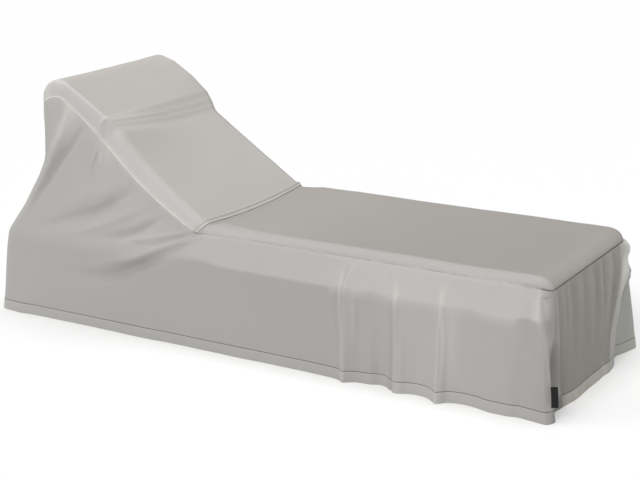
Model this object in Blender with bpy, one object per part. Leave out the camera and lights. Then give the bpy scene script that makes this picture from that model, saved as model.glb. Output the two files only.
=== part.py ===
"""A fitted cloth cover for a sun lounger with its back raised, hanging to the floor all round.

Lengths are metres. The shape is worked out from the floor up: x runs from the head to the foot, the near
long side is at -y and z = 0 is the floor. place() then moves the origin to the middle of the seat, under the
cloth, which is where the cover rests on the lounger.

The cover is one continuous outer face cut into panels. A grid over the top gives the seat and the back, and
the ring of points round that grid's edge is the seam that the skirt hangs from.
"""

import math

import bpy
import numpy as np

# Cloth and sewing
CLOTH = 0.002
HEM_EXTRA = 0.001
HEM_DEPTH = 0.040
HEM_STEP = 0.002
SEAM_SHIFT = 0.00028
SMOOTH_BELOW = math.radians(50)

# The top, where the cloth lies on the cushions
SEAT_HEIGHT = 0.425
SEAT_MIDDLE_X = 0.420
FLAT_HALF = 0.305
EDGE_REACH = 0.030
EDGE_TURN = math.radians(62)
EDGE_LEAN = 0.004
FOOT_REACH = 0.050
FOOT_FALL = 0.034
HEAD_EDGE_RADIUS = 0.072
HEAD_EDGE_DROP = 0.022
BACK_LEAN = math.radians(30.8)

# The skirt, from the seam round the top down to the floor
LEDGE_Z = 0.385
BAND_Z = 0.305
BAND_OUT = 0.050
NEAR_OUT = 0.080
FAR_OUT = 0.062
BACK_SAG = 0.007
SAG_FROM_Z = 0.45
SAG_FULL_Z = 0.75
SEAM_SETTLE = 0.012
FAN_FROM_X = -0.200
FAN = 1.340
HEAD_PULL_FROM_X = -0.45
HEAD_PULL_FULL_X = -0.80

# The tuck sewn along the crease, lifted off the back by these heights from its foot edge to its head edge
TUCK_LIFTS = (0.0010, 0.0048, 0.0048, 0.0010)

# The blank tab sewn into the seam at the near corner of the foot
TAB_WIDTH = 0.022
TAB_HEIGHT = 0.064
TAB_CLOTH = 0.0014
TAB_GAP = 0.0004
TAB_TOP_Z = 0.116
TAB_ROWS = 6
TAB_SHIFT = 0.0105

# Corners of the line that the top follows along its middle, from the head to the foot: x, z, softness
TOP_LINE = (
    ("head edge", -0.8130, 0.8600, 0.000),
    ("step, top", -0.6320, 0.7520, 0.014),
    ("step, foot", -0.5980, 0.6800, 0.018),
    ("top of the tuck", -0.2380, 0.4427, 0.000),
    ("crease", -0.2050, 0.4210, 0.010),
    ("foot edge", 1.0165, 0.4250, 0.000),
)

CREASE_X = TOP_LINE[-2][1]

# Where the seam runs along each long side: x on the top line, then the seam's own x and z
SIDE_SEAM = (
    ("head edge", -0.8130, -0.825, 0.815),
    ("head", -0.7400, -0.765, 0.777),
    ("step, top", -0.6320, -0.665, 0.700),
    ("step, foot", -0.5980, -0.615, 0.655),
    ("middle of the back", -0.4500, -0.480, 0.537),
    ("foot of the back", -0.3000, -0.328, 0.438),
    ("crease", -0.2050, -0.236, 0.394),
    ("seat", -0.1200, -0.120, 0.399),
    ("foot edge", 1.0165, 1.0165, 0.399),
)

# How far the seat cloth stands above its level, from the near edge to the far one: y, rise
SEAT_RISE = ((-0.305, 0.002), (-0.200, 0.000), (0.000, -0.002), (0.200, 0.004), (0.305, 0.013))

# How far the cloth bridges the hollow below the step: lift at each x, and the share of it at each y
BRIDGE_LIFT = (
    (-0.640, 0.000),
    (-0.598, 0.042),
    (-0.575, 0.048),
    (-0.530, 0.032),
    (-0.480, 0.017),
    (-0.375, 0.005),
    (-0.250, 0.000),
)
BRIDGE_SHARE = ((-0.305, 1.00), (-0.200, 0.72), (-0.100, 0.42), (0.000, 0.20), (0.100, 0.08), (0.250, 0.00))

# How far the head rest stands above its level, from the near edge to the far one: y, rise
HEAD_RISE = ((-0.305, 0.000), (0.000, 0.001), (0.180, 0.003), (0.305, 0.015))
CREASE_DIP = 0.008
CREASE_BOW = 0.012

# How square each corner of the top is: 1 follows a plain curve and less is squarer
CORNER_FULLNESS = {"near foot": 0.85, "far foot": 0.50, "near head": 1.0, "far head": 0.80}

# How far the end walls have moved from the top seam to the hem, as a share, at each height
HEAD_WALL = (
    (0.83, 0.00),
    (0.75, 0.00),
    (0.68, -0.03),
    (0.60, -0.04),
    (0.53, 0.09),
    (0.464, 0.30),
    (0.397, 0.52),
    (0.33, 0.78),
    (0.29, 0.90),
    (0.00, 1.00),
)
FOOT_WALL = ((0.40, 0.00), (0.31, 0.36), (0.20, 0.62), (0.00, 1.00))

# How far each column of the foot has moved along it from its place on the seam to its place on the hem
FOOT_FALL_SHARE = ((0.392, 0.00), (0.318, 0.21), (0.244, 0.47), (0.171, 0.72), (0.105, 0.90), (0.00, 1.00))

# The height of the bend in the near and far sides, as seam x and height
BAND_LINE = (
    (-0.450, 0.290),
    (-0.348, 0.299),
    (-0.202, 0.314),
    (-0.111, 0.303),
    (0.280, 0.302),
    (0.348, 0.308),
    (0.400, 0.304),
    (0.452, 0.313),
    (0.475, 0.306),
    (0.600, 0.305),
    (0.820, 0.309),
    (0.869, 0.301),
    (0.941, 0.299),
    (0.992, 0.310),
    (1.057, 0.313),
)

# Where each y of the end seams comes down to on the hem: y at the top, y at the hem
FOOT_SPREAD = ((-0.305, -0.365), (-0.285, -0.283), (0.000, -0.020), (0.280, 0.095), (0.305, 0.322))
HEAD_SPREAD = ((-0.305, -0.340), (0.305, 0.340))

# The line of the foot hem on the floor, with its waves: y, x
FOOT_HEM = (
    (-0.417, 1.120),
    (-0.385, 1.098),
    (-0.350, 1.092),
    (-0.298, 1.098),
    (-0.264, 1.101),
    (-0.186, 1.111),
    (0.020, 1.116),
    (0.085, 1.120),
    (0.121, 1.117),
    (0.170, 1.106),
    (0.200, 1.086),
    (0.235, 1.084),
    (0.286, 1.100),
    (0.354, 1.118),
)

# Corners of the hem on the floor: x, y, radius, and how square they are
HEM_CORNERS = {
    "near foot": (1.126, -0.419, 0.030, 0.45),
    "far foot": (1.118, 0.385, 0.035, 0.55),
    "near head": (-1.091, -0.415, 0.055, 0.60),
    "far head": (-1.096, 0.397, 0.055, 0.60),
}

# How far the near hem has moved towards the foot: seam x, distance
NEAR_DRIFT = (
    (0.000, 0.000),
    (0.250, 0.015),
    (0.357, 0.036),
    (0.556, 0.029),
    (0.722, 0.020),
    (0.900, 0.008),
    (1.000, 0.000),
)

# The waves of the near hem, which fade out upwards to NEAR_HEM_TOP: hem x, how far it stands out
NEAR_HEM = (
    (0.250, 0.000),
    (0.335, 0.003),
    (0.372, 0.009),
    (0.396, 0.021),
    (0.418, 0.009),
    (0.440, -0.001),
    (0.480, -0.006),
    (0.515, -0.019),
    (0.541, -0.011),
    (0.565, 0.012),
    (0.584, 0.023),
    (0.601, 0.020),
    (0.620, 0.010),
    (0.656, 0.001),
    (0.680, 0.003),
    (0.704, 0.011),
    (0.722, 0.024),
    (0.741, 0.034),
    (0.754, 0.028),
    (0.768, 0.013),
    (0.786, 0.004),
    (0.825, -0.001),
    (0.869, 0.005),
    (0.916, 0.016),
    (0.977, 0.017),
    (1.015, 0.010),
    (1.055, 0.012),
    (1.110, 0.014),
)
NEAR_HEM_TOP = 0.345

# Grid lines: places across the top, steps over each edge, heights down the skirt. The row at BAND_Z follows
# BAND_LINE up and down.
ACROSS = (-0.305, -0.285, -0.200, -0.100, 0.000, 0.100, 0.190, 0.240, 0.280, 0.305)
EDGE_ROWS = (0.25, 0.50, 0.75, 1.00)
ALONG_SEAT = 0.150
ALONG_BACK = 0.065
ABOVE_LEDGE = (0.00, 0.05, 0.12, 0.20, 0.28, 0.36, 0.44, 0.52, 0.60, 0.68, 0.76, 0.84, 0.92)
BELOW_LEDGE = (
    0.385,
    0.366,
    0.348,
    0.330,
    BAND_Z,
    0.290,
    0.276,
    0.258,
    0.240,
    0.222,
    0.204,
    0.184,
    0.160,
    0.125,
    0.085,
)

# Heights that are enough where the skirt hangs plainly, and the part of the near side that needs them all
PLAIN_ABOVE = (0.00, 0.12, 0.28, 0.44, 0.60, 0.76, 0.92)
PLAIN_BELOW = (0.385, 0.348, BAND_Z, 0.258, 0.204, 0.125)
FULL_UNTIL_X = 0.02

# Widest gap between columns of the skirt: which stretch, the x it starts from, the gap
COLUMN_GAPS = {
    "near side": ((-1.0, 0.020), (-0.23, 0.045), (0.05, 0.090), (0.98, 0.022)),
    "far side": ((-1.0, 0.050), (-0.20, 0.100)),
    "foot": ((-1.0, 0.0165),),
    "far strip": ((-1.0, 0.0042),),
    "head": ((-1.0, 0.075),),
}
PLEAT_COLUMNS = (-0.012, -0.004, 0.004, 0.018, 0.042)
PLEAT_CLEARANCE = 0.020

# Seams that part the skirt, as y on the foot edge and on the head edge
FOOT_SEAMS = (-0.285, 0.280)
HEAD_SEAMS = (-0.285, 0.280)

# Folds. A row is a name, its kind, its half width, the length of a step's tail, and points of
# (place along the side, height, how far it stands out). A step rises at once and dies away along +place,
# or along -place where its tail is negative.
NEAR_FOLDS = (
    ("pull to the base corner", "soft", 0.018, 0,
     ((-0.780, 0.745, 0.003), (-0.798, 0.705, 0.010), (-0.820, 0.665, 0.015), (-0.850, 0.610, 0.018),
      (-0.903, 0.517, 0.015), (-0.945, 0.444, 0.008), (-0.990, 0.370, 0.002))),
    ("hollow beside the pull", "soft", 0.020, 0,
     ((-0.708, 0.735, 0.000), (-0.745, 0.680, -0.010), (-0.800, 0.614, -0.019), (-0.845, 0.565, -0.019),
      (-0.878, 0.512, -0.015), (-0.917, 0.457, -0.010), (-0.955, 0.398, -0.003))),
    ("bulge over the long swag", "soft", 0.028, 0,
     ((-0.540, 0.540, 0.001), (-0.620, 0.498, 0.006), (-0.700, 0.470, 0.007), (-0.780, 0.440, 0.003))),
    ("long swag", "soft", 0.019, 0,
     ((-0.500, 0.512, -0.002), (-0.567, 0.472, -0.011), (-0.607, 0.447, -0.017), (-0.672, 0.413, -0.017),
      (-0.734, 0.397, -0.014), (-0.798, 0.373, -0.009), (-0.863, 0.348, -0.005), (-0.918, 0.335, -0.001))),
    ("ridge between the swags", "soft", 0.013, 0,
     ((-0.418, 0.478, 0.001), (-0.509, 0.432, 0.004), (-0.605, 0.388, 0.006), (-0.699, 0.350, 0.005),
      (-0.792, 0.318, 0.001))),
    ("short swag", "soft", 0.015, 0,
     ((-0.365, 0.436, -0.001), (-0.416, 0.406, -0.009), (-0.475, 0.373, -0.015), (-0.538, 0.349, -0.014),
      (-0.603, 0.337, -0.006), (-0.660, 0.330, -0.001))),
    ("tuck at the crease", "soft", 0.011, 0,
     ((-0.240, 0.390, -0.005), (-0.313, 0.368, -0.012), (-0.366, 0.349, -0.010), (-0.410, 0.337, -0.004),
      (-0.520, 0.330, -0.001))),
    ("roll under the tuck", "soft", 0.014, 0,
     ((-0.248, 0.378, 0.005), (-0.337, 0.346, 0.011), (-0.406, 0.313, 0.013), (-0.492, 0.277, 0.012),
      (-0.600, 0.250, 0.005))),
    ("low swag", "soft", 0.020, 0,
     ((-0.236, 0.368, -0.001), (-0.287, 0.343, -0.005), (-0.344, 0.317, -0.010), (-0.408, 0.282, -0.015),
      (-0.463, 0.252, -0.020), (-0.512, 0.229, -0.020), (-0.568, 0.207, -0.016), (-0.636, 0.192, -0.010),
      (-0.740, 0.185, -0.002))),
    ("corner roll", "soft", 0.012, 0,
     ((1.034, 0.385, 0.003), (1.046, 0.350, 0.008), (1.062, 0.300, 0.008), (1.082, 0.220, 0.007),
      (1.105, 0.000, 0.005))),
    ("hollow beside the corner roll", "soft", 0.014, 0,
     ((1.008, 0.360, -0.001), (1.022, 0.300, -0.004), (1.045, 0.200, -0.004), (1.070, 0.060, -0.001))),
    ("hollow round the corner", "soft", 0.014, 0,
     ((1.070, 0.340, -0.003), (1.092, 0.280, -0.009), (1.104, 0.220, -0.015), (1.112, 0.170, -0.024),
      (1.116, 0.100, -0.026), (1.120, 0.040, -0.008))),
    ("hem ripple at the head", "soft", 0.035, 0, ((-0.990, 0.120, 0.000), (-0.990, 0.000, 0.006))),
)
FAR_FOLDS = (
    ("pull to the base corner", "soft", 0.028, 0,
     ((-0.800, 0.790, 0.003), (-0.850, 0.690, 0.012), (-0.920, 0.550, 0.018), (-0.990, 0.430, 0.014),
      (-1.050, 0.330, 0.005))),
    ("hollow beside the pull", "soft", 0.038, 0,
     ((-0.750, 0.750, -0.004), (-0.810, 0.650, -0.013), (-0.870, 0.540, -0.014), (-0.940, 0.410, -0.004))),
    ("long swag", "soft", 0.032, 0,
     ((-0.460, 0.500, -0.004), (-0.580, 0.445, -0.011), (-0.720, 0.400, -0.011), (-0.900, 0.350, -0.003))),
    ("tuck at the crease", "soft", 0.016, 0,
     ((-0.245, 0.385, -0.005), (-0.350, 0.358, -0.008), (-0.480, 0.320, -0.002))),
    ("low swag", "soft", 0.034, 0,
     ((-0.260, 0.330, -0.003), (-0.420, 0.290, -0.010), (-0.580, 0.235, -0.012), (-0.760, 0.200, -0.003))),
    ("flap at the foot corner", "soft", 0.022, 0,
     ((1.040, 0.398, 0.010), (1.048, 0.376, 0.015), (1.050, 0.350, 0.008), (1.055, 0.320, 0.000))),
    ("hollow below the flap", "soft", 0.030, 0,
     ((1.062, 0.300, -0.004), (1.072, 0.240, -0.008), (1.090, 0.120, -0.004), (1.105, 0.030, 0.000))),
    ("first pleat", "step", 0.010, 0.070,
     ((0.180, 0.370, 0.000), (0.180, 0.300, 0.008), (0.180, 0.000, 0.018))),
    ("last pleat", "step", 0.010, 0.090,
     ((0.640, 0.370, 0.000), (0.640, 0.300, 0.010), (0.640, 0.000, 0.026))),
)
FOOT_FOLDS = (
    ("flap at the far corner", "soft", 0.022, 0,
     ((0.340, 0.398, 0.010), (0.345, 0.376, 0.015), (0.342, 0.350, 0.008), (0.340, 0.320, 0.000))),
    ("hollow below the flap", "soft", 0.030, 0,
     ((0.350, 0.300, -0.004), (0.355, 0.240, -0.008), (0.365, 0.120, -0.004), (0.375, 0.030, 0.000))),
    ("hollow round the near corner", "soft", 0.030, 0,
     ((-0.350, 0.330, -0.003), (-0.360, 0.250, -0.008), (-0.365, 0.170, -0.018), (-0.365, 0.100, -0.020),
      (-0.370, 0.040, -0.006))),
    ("hollow beside the near corner", "soft", 0.016, 0,
     ((-0.268, 0.330, -0.002), (-0.264, 0.250, -0.006), (-0.262, 0.150, -0.008), (-0.268, 0.040, -0.003))),
    ("first gather", "soft", 0.012, 0,
     ((-0.238, 0.384, 0.002), (-0.242, 0.330, 0.006), (-0.250, 0.215, 0.005), (-0.256, 0.120, 0.001))),
    ("second gather", "soft", 0.012, 0,
     ((-0.196, 0.384, 0.002), (-0.200, 0.325, 0.006), (-0.219, 0.206, 0.005), (-0.228, 0.110, 0.001))),
    ("third gather", "soft", 0.014, 0,
     ((-0.100, 0.384, 0.002), (-0.109, 0.322, 0.005), (-0.129, 0.213, 0.004), (-0.140, 0.120, 0.001))),
    ("fourth gather", "soft", 0.013, 0,
     ((0.000, 0.384, 0.002), (-0.012, 0.329, 0.006), (-0.034, 0.184, 0.005), (-0.045, 0.100, 0.001))),
    ("fifth gather", "soft", 0.013, 0,
     ((0.086, 0.384, 0.002), (0.077, 0.321, 0.006), (0.048, 0.194, 0.005), (0.013, 0.110, 0.001))),
    ("sixth gather", "soft", 0.014, 0,
     ((0.175, 0.384, 0.003), (0.159, 0.350, 0.007), (0.112, 0.244, 0.007), (0.068, 0.153, 0.004),
      (0.050, 0.100, 0.001))),
    ("shade by the strip", "soft", 0.014, 0,
     ((0.236, 0.370, -0.004), (0.205, 0.300, -0.008), (0.155, 0.220, -0.008), (0.115, 0.140, -0.004))),
    ("fold at the far corner", "step", 0.016, -0.075,
     ((0.372, 0.370, 0.006), (0.355, 0.307, 0.018), (0.300, 0.250, 0.024), (0.252, 0.197, 0.024),
      (0.231, 0.077, 0.014), (0.225, 0.000, 0.008))),
)
HEAD_FOLDS = (
    ("fall from the near corner", "soft", 0.045, 0,
     ((-0.220, 0.780, 0.003), (-0.230, 0.550, 0.012), (-0.280, 0.320, 0.006))),
    ("middle fall", "soft", 0.060, 0,
     ((0.020, 0.780, 0.002), (0.010, 0.500, 0.009), (0.000, 0.150, 0.006), (0.000, 0.000, 0.010))),
    ("fall from the far corner", "soft", 0.045, 0,
     ((0.230, 0.780, 0.003), (0.240, 0.550, 0.012), (0.280, 0.320, 0.006))),
    ("belly", "soft", 0.150, 0,
     ((-0.020, 0.620, -0.010), (-0.020, 0.450, -0.028), (-0.020, 0.340, -0.010))),
)


def rounded(corners, steps):
    """Points along a line of (x, z, softness) corners, each soft one turned through a short curve."""
    points = [corners[0][:2]]
    for before, corner, after in zip(corners, corners[1:], corners[2:]):
        here = np.array(corner[:2])
        if corner[2] == 0:
            points.append(tuple(here))
            continue
        back = np.array(before[:2]) - here
        ahead = np.array(after[:2]) - here
        start = here + back / np.linalg.norm(back) * corner[2]
        end = here + ahead / np.linalg.norm(ahead) * corner[2]
        for t in np.linspace(0, 1, steps):
            points.append(tuple((1 - t) ** 2 * start + 2 * t * (1 - t) * here + t * t * end))
    points.append(corners[-1][:2])
    return points


def top_stations():
    """The (x, z) places along the top line where the grid has a line across."""
    line = rounded([row[1:] for row in TOP_LINE], 3)
    stations = []
    for (x0, z0), (x1, z1) in zip(line, line[1:]):
        longest = ALONG_SEAT if x0 > CREASE_X else ALONG_BACK
        count = max(1, math.ceil(math.hypot(x1 - x0, z1 - z0) / longest))
        stations += [(x0 + (x1 - x0) * k / count, z0 + (z1 - z0) * k / count) for k in range(count)]
    stations.append(line[-1])
    return stations


def edge_profile(share, fall):
    """How far out and down the cloth has gone, this share of the way over a long edge that falls this far."""
    radius = EDGE_REACH / math.sin(EDGE_TURN)
    arc_fall = radius * (1 - math.cos(EDGE_TURN))
    rest = max(fall - arc_fall, 0.001)
    arc = radius * EDGE_TURN
    run = share * (arc + rest)
    if run <= arc:
        return radius * math.sin(run / radius), radius * (1 - math.cos(run / radius))
    lean = EDGE_LEAN * math.tan(math.pi / 2 - EDGE_TURN) / rest
    return EDGE_REACH + lean * (run - arc), arc_fall + run - arc


def foot_profile(share):
    """The same over the foot edge."""
    angle = share * math.pi / 2
    return FOOT_REACH * math.sin(angle), -FOOT_FALL * (1 - math.cos(angle))


def head_profile(share):
    """The same over the head edge, which turns from the leaning head rest to straight down."""
    turn = math.pi / 2 + BACK_LEAN
    run = share * (HEAD_EDGE_RADIUS * turn + HEAD_EDGE_DROP)
    angle = min(run / HEAD_EDGE_RADIUS, turn)
    along = HEAD_EDGE_RADIUS * math.sin(angle)
    down = HEAD_EDGE_RADIUS * (1 - math.cos(angle))
    drop = max(run - HEAD_EDGE_RADIUS * turn, 0)
    x = -along * math.cos(BACK_LEAN) - down * math.sin(BACK_LEAN)
    z = along * math.sin(BACK_LEAN) - down * math.cos(BACK_LEAN) - drop
    return x, z


def corner_name(x, y):
    return ("near" if y < 0 else "far") + (" foot" if x > 0 else " head")


def top_grid():
    """The outer face of the seat and back, as an array of points."""
    stations = top_stations()
    seam_at = np.array([row[1] for row in SIDE_SEAM])
    seam_x = np.array([row[2] for row in SIDE_SEAM])
    seam_z = np.array([row[3] for row in SIDE_SEAM])
    rise_y, rise_z = zip(*SEAT_RISE)
    bridge_x, bridge_z = zip(*BRIDGE_LIFT)
    bridge_y, bridge_share = zip(*BRIDGE_SHARE)
    head_y, head_rise = zip(*HEAD_RISE)
    head = [(stations[0], -share) for share in reversed(EDGE_ROWS)]
    foot = [(stations[-1], share) for share in EDGE_ROWS]
    lines = head + [(station, 0) for station in stations] + foot
    near = [(-FLAT_HALF, -share) for share in reversed(EDGE_ROWS)]
    far = [(FLAT_HALF, share) for share in EDGE_ROWS]
    rows = near + [(y, 0) for y in ACROSS] + far
    grid = np.zeros((len(lines), len(rows), 3))
    for i, ((x, z), end) in enumerate(lines):
        drop = np.array([np.interp(x, seam_at, seam_x) - x, np.interp(x, seam_at, seam_z) - z])
        fall = float(np.linalg.norm(drop))
        drop = drop / fall
        on_seat = min(max((x - CREASE_X) / 0.10, 0), 1)
        on_head = min(max((-0.64 - x) / 0.06, 0), 1) * min(max((x + 0.83) / 0.05, 0), 1)
        at_crease = math.exp(-(((x - CREASE_X) / 0.040) ** 2))
        bridge = float(np.interp(x, bridge_x, bridge_z))
        for j, (y, side) in enumerate(rows):
            share = max(abs(end), abs(side))
            turn = math.atan2(abs(side), abs(end)) if share else 0
            fullness = CORNER_FULLNESS[corner_name(x, y)]
            end_x, end_z = (foot_profile if end > 0 else head_profile)(share) if end else (0, 0)
            side_y, side_down = edge_profile(share, fall) if side else (0, 0)
            rise = np.interp(y, rise_y, rise_z) * on_seat * (1 - share)
            rise += np.interp(y, bridge_y, bridge_share) * bridge * (1 - share)
            rise += np.interp(y, head_y, head_rise) * on_head * (1 - share)
            bowed = at_crease * max(1 - (y / 0.30) ** 2, 0) * (1 - share)
            rise -= CREASE_DIP * bowed
            along = end_x * math.cos(turn) ** fullness + CREASE_BOW * bowed
            grid[i, j] = (
                x + along + drop[0] * side_down * math.sin(turn) ** 2,
                y + math.copysign(side_y, side) * math.sin(turn) ** fullness if side else y,
                z + end_z * math.cos(turn) ** 2 + drop[1] * side_down * math.sin(turn) ** 2 + rise,
            )
    return grid


def ring_of(grid):
    """The (line, row) places round the grid's edge, and the turn of each from end (0) to side (pi / 2)."""
    lines, rows = grid.shape[:2]
    edge = len(EDGE_ROWS)
    near = [(i, 0) for i in range(lines)]
    foot = [(lines - 1, j) for j in range(1, rows)]
    far = [(i, rows - 1) for i in range(lines - 2, -1, -1)]
    head = [(0, j) for j in range(rows - 2, 0, -1)]
    ring = near + foot + far + head
    turns = []
    for i, j in ring:
        end = max(edge - i, i - (lines - 1 - edge), 0) / edge
        side = max(edge - j, j - (rows - 1 - edge), 0) / edge
        turns.append(math.atan2(side, end))
    return ring, np.array(turns)


def stretch_of(x, y, turn):
    """Which stretch of the skirt a place on the seam belongs to."""
    if turn > math.pi / 4:
        return "near side" if y < 0 else "far side"
    if x > 0 and y > FOOT_SEAMS[1]:
        return "far strip"
    return "foot" if x > 0 else "head"


def own_columns(stretch):
    """The x places of a long side that get a column of their own, at its waves and pleats."""
    if stretch == "near side":
        drift_x, drift = zip(*NEAR_DRIFT)
        return [x - float(np.interp(x - 0.02, drift_x, drift)) for x, _ in NEAR_HEM]
    if stretch == "far side":
        return [row[4][1][0] + step for row in FAR_FOLDS if row[1] == "step" for step in PLEAT_COLUMNS]
    return []


def column_places(seam, turns):
    """Places round the seam, as (ring point, share of the way to the next), one for each skirt column."""
    places = []
    count = len(seam)
    for k in range(count):
        a, b = seam[k], seam[(k + 1) % count]
        middle = (a + b) / 2
        turn = (turns[k] + turns[(k + 1) % count]) / 2
        stretch = stretch_of(*middle[:2], turn)
        gap = [gap for start, gap in COLUMN_GAPS[stretch] if middle[0] >= start][-1]
        length = float(np.linalg.norm(b - a))
        pieces = max(1, math.ceil(length / gap - 0.01))
        shares = [j / pieces for j in range(pieces)]
        wanted = [(x - a[0]) / (b[0] - a[0]) for x in own_columns(stretch)]
        wanted = [share for share in wanted if 0.001 < share < 0.999]
        clear = [0.0]
        for share in shares[1:]:
            if min((abs(share - fold) for fold in wanted), default=1) * length > PLEAT_CLEARANCE:
                clear.append(share)
        shares = clear + wanted
        places += [(k, share) for share in sorted(shares)]
    return places


def between(values, places):
    """The values at the ring's points, carried to the columns in a straight line between them."""
    following = np.roll(values, -1, axis=0)
    return np.array([values[k] + (following[k] - values[k]) * share for k, share in places])


def fold_height(folds, place_along, height):
    """How far the folds in this table push each point out, at its place along the side and its height."""
    out = np.zeros(place_along.shape)
    for _, kind, width, tail, points in folds:
        nearest = np.full(place_along.shape, np.inf)
        signed = np.zeros(place_along.shape)
        stand = np.zeros(place_along.shape)
        for (a0, z0, h0), (a1, z1, h1) in zip(points, points[1:]):
            length = math.hypot(a1 - a0, z1 - z0)
            along = ((place_along - a0) * (a1 - a0) + (height - z0) * (z1 - z0)) / length
            across = ((place_along - a0) * (z0 - z1) + (height - z0) * (a1 - a0)) / length
            inside = np.clip(along, 0, length)
            past = np.abs(along - inside)
            gap = np.hypot(across, past)
            closer = gap < nearest
            nearest = np.where(closer, gap, nearest)
            signed = np.where(closer, across, signed)
            fade = np.exp(-((past / (2 * width)) ** 2))
            stand = np.where(closer, (h0 + (h1 - h0) * inside / length) * fade, stand)
        if kind == "soft":
            out += stand * np.exp(-((signed / width) ** 2))
        else:
            # A step's points run downwards, so its tail lies on the positive side of the line.
            forward = signed if tail > 0 else -signed
            rise = 1 / (1 + np.exp(np.clip(-4 * forward / width, -30, 30)))
            out += stand * rise * np.exp(-np.maximum(forward, 0) / abs(tail))
    return out


def hem_line(seam, turns):
    """Where each column comes down to on the floor."""
    hem = seam.copy()
    hem[:, 2] = 0
    foot_y, foot_x = zip(*FOOT_HEM)
    drift_x, drift = zip(*NEAR_DRIFT)
    for k, ((x, y, _), turn) in enumerate(zip(seam, turns)):
        corner_x, corner_y, radius, square = HEM_CORNERS[corner_name(x, y)]
        forward = math.copysign(1, x)
        outward = math.copysign(1, y)
        if turn >= math.pi / 2 - 1e-6:
            fanned = FAN_FROM_X + (x - FAN_FROM_X) * FAN if x < FAN_FROM_X else x
            fanned += float(np.interp(x, drift_x, drift)) if y < 0 else 0
            limit = corner_x - forward * radius
            hem[k, 0] = min(fanned, limit) if x > 0 else max(fanned, limit)
            hem[k, 1] = outward * (FLAT_HALF + EDGE_REACH + (NEAR_OUT if y < 0 else FAR_OUT))
        elif turn <= 1e-6:
            spread_top, spread_hem = zip(*(FOOT_SPREAD if x > 0 else HEAD_SPREAD))
            hem[k, 1] = np.interp(y, spread_top, spread_hem)
            hem[k, 0] = np.interp(hem[k, 1], foot_y, foot_x) if x > 0 else corner_x
        else:
            hem[k, 0] = corner_x - forward * radius * (1 - math.cos(turn) ** square)
            hem[k, 1] = corner_y - outward * radius * (1 - math.sin(turn) ** square)
    return hem


def band_heights(seam):
    """The height of the bend in the skirt at every column."""
    band_x, band_z = zip(*BAND_LINE)
    return np.interp(seam[:, 0], band_x, band_z)


def side_share(height, top_z, out, band_z):
    """The share of the side's outward lean that it has reached at this height."""
    above = np.clip((height - band_z) / np.maximum(top_z - band_z, 0.01), 0, 1)
    deep = np.clip((top_z - SAG_FROM_Z) / (SAG_FULL_Z - SAG_FROM_Z), 0, 1)
    band = BAND_OUT * (1 - above) - BACK_SAG * deep * np.sin(math.pi * above**0.6)
    low = BAND_OUT + (out - BAND_OUT) * (1 - height / band_z)
    return np.where(height > band_z, band, low) / out


def skirt_heights(seam):
    """The height of every row at every column. Rows above the ledge open out under the back."""
    rows = []
    for share in ABOVE_LEDGE:
        rows.append(LEDGE_Z + (seam[:, 2] - LEDGE_Z) * (1 - share))
    for height in BELOW_LEDGE + (HEM_DEPTH + HEM_STEP, HEM_DEPTH - HEM_STEP, 0.0):
        rows.append(band_heights(seam) if height == BAND_Z else np.full(len(seam), height))
    return np.array(rows)


def merged_rows(seam):
    """Which points of the skirt's grid are left out, each joined to the one above it."""
    count = len(ABOVE_LEDGE) + len(BELOW_LEDGE) + 3
    seated = (seam[:, 2] < SEAT_HEIGHT) & (seam[:, 0] > CREASE_X)
    plain = (seam[:, 1] > 0) | (seam[:, 0] > FULL_UNTIL_X) | (seam[:, 0] < -0.9)
    merged = np.zeros((count, len(seam)), bool)
    for i, share in enumerate(ABOVE_LEDGE):
        merged[i] = (i > 0) & (seated | (plain & (share not in PLAIN_ABOVE)))
    for i, height in enumerate(BELOW_LEDGE):
        merged[len(ABOVE_LEDGE) + i] = plain & (height not in PLAIN_BELOW)
    return merged


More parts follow.
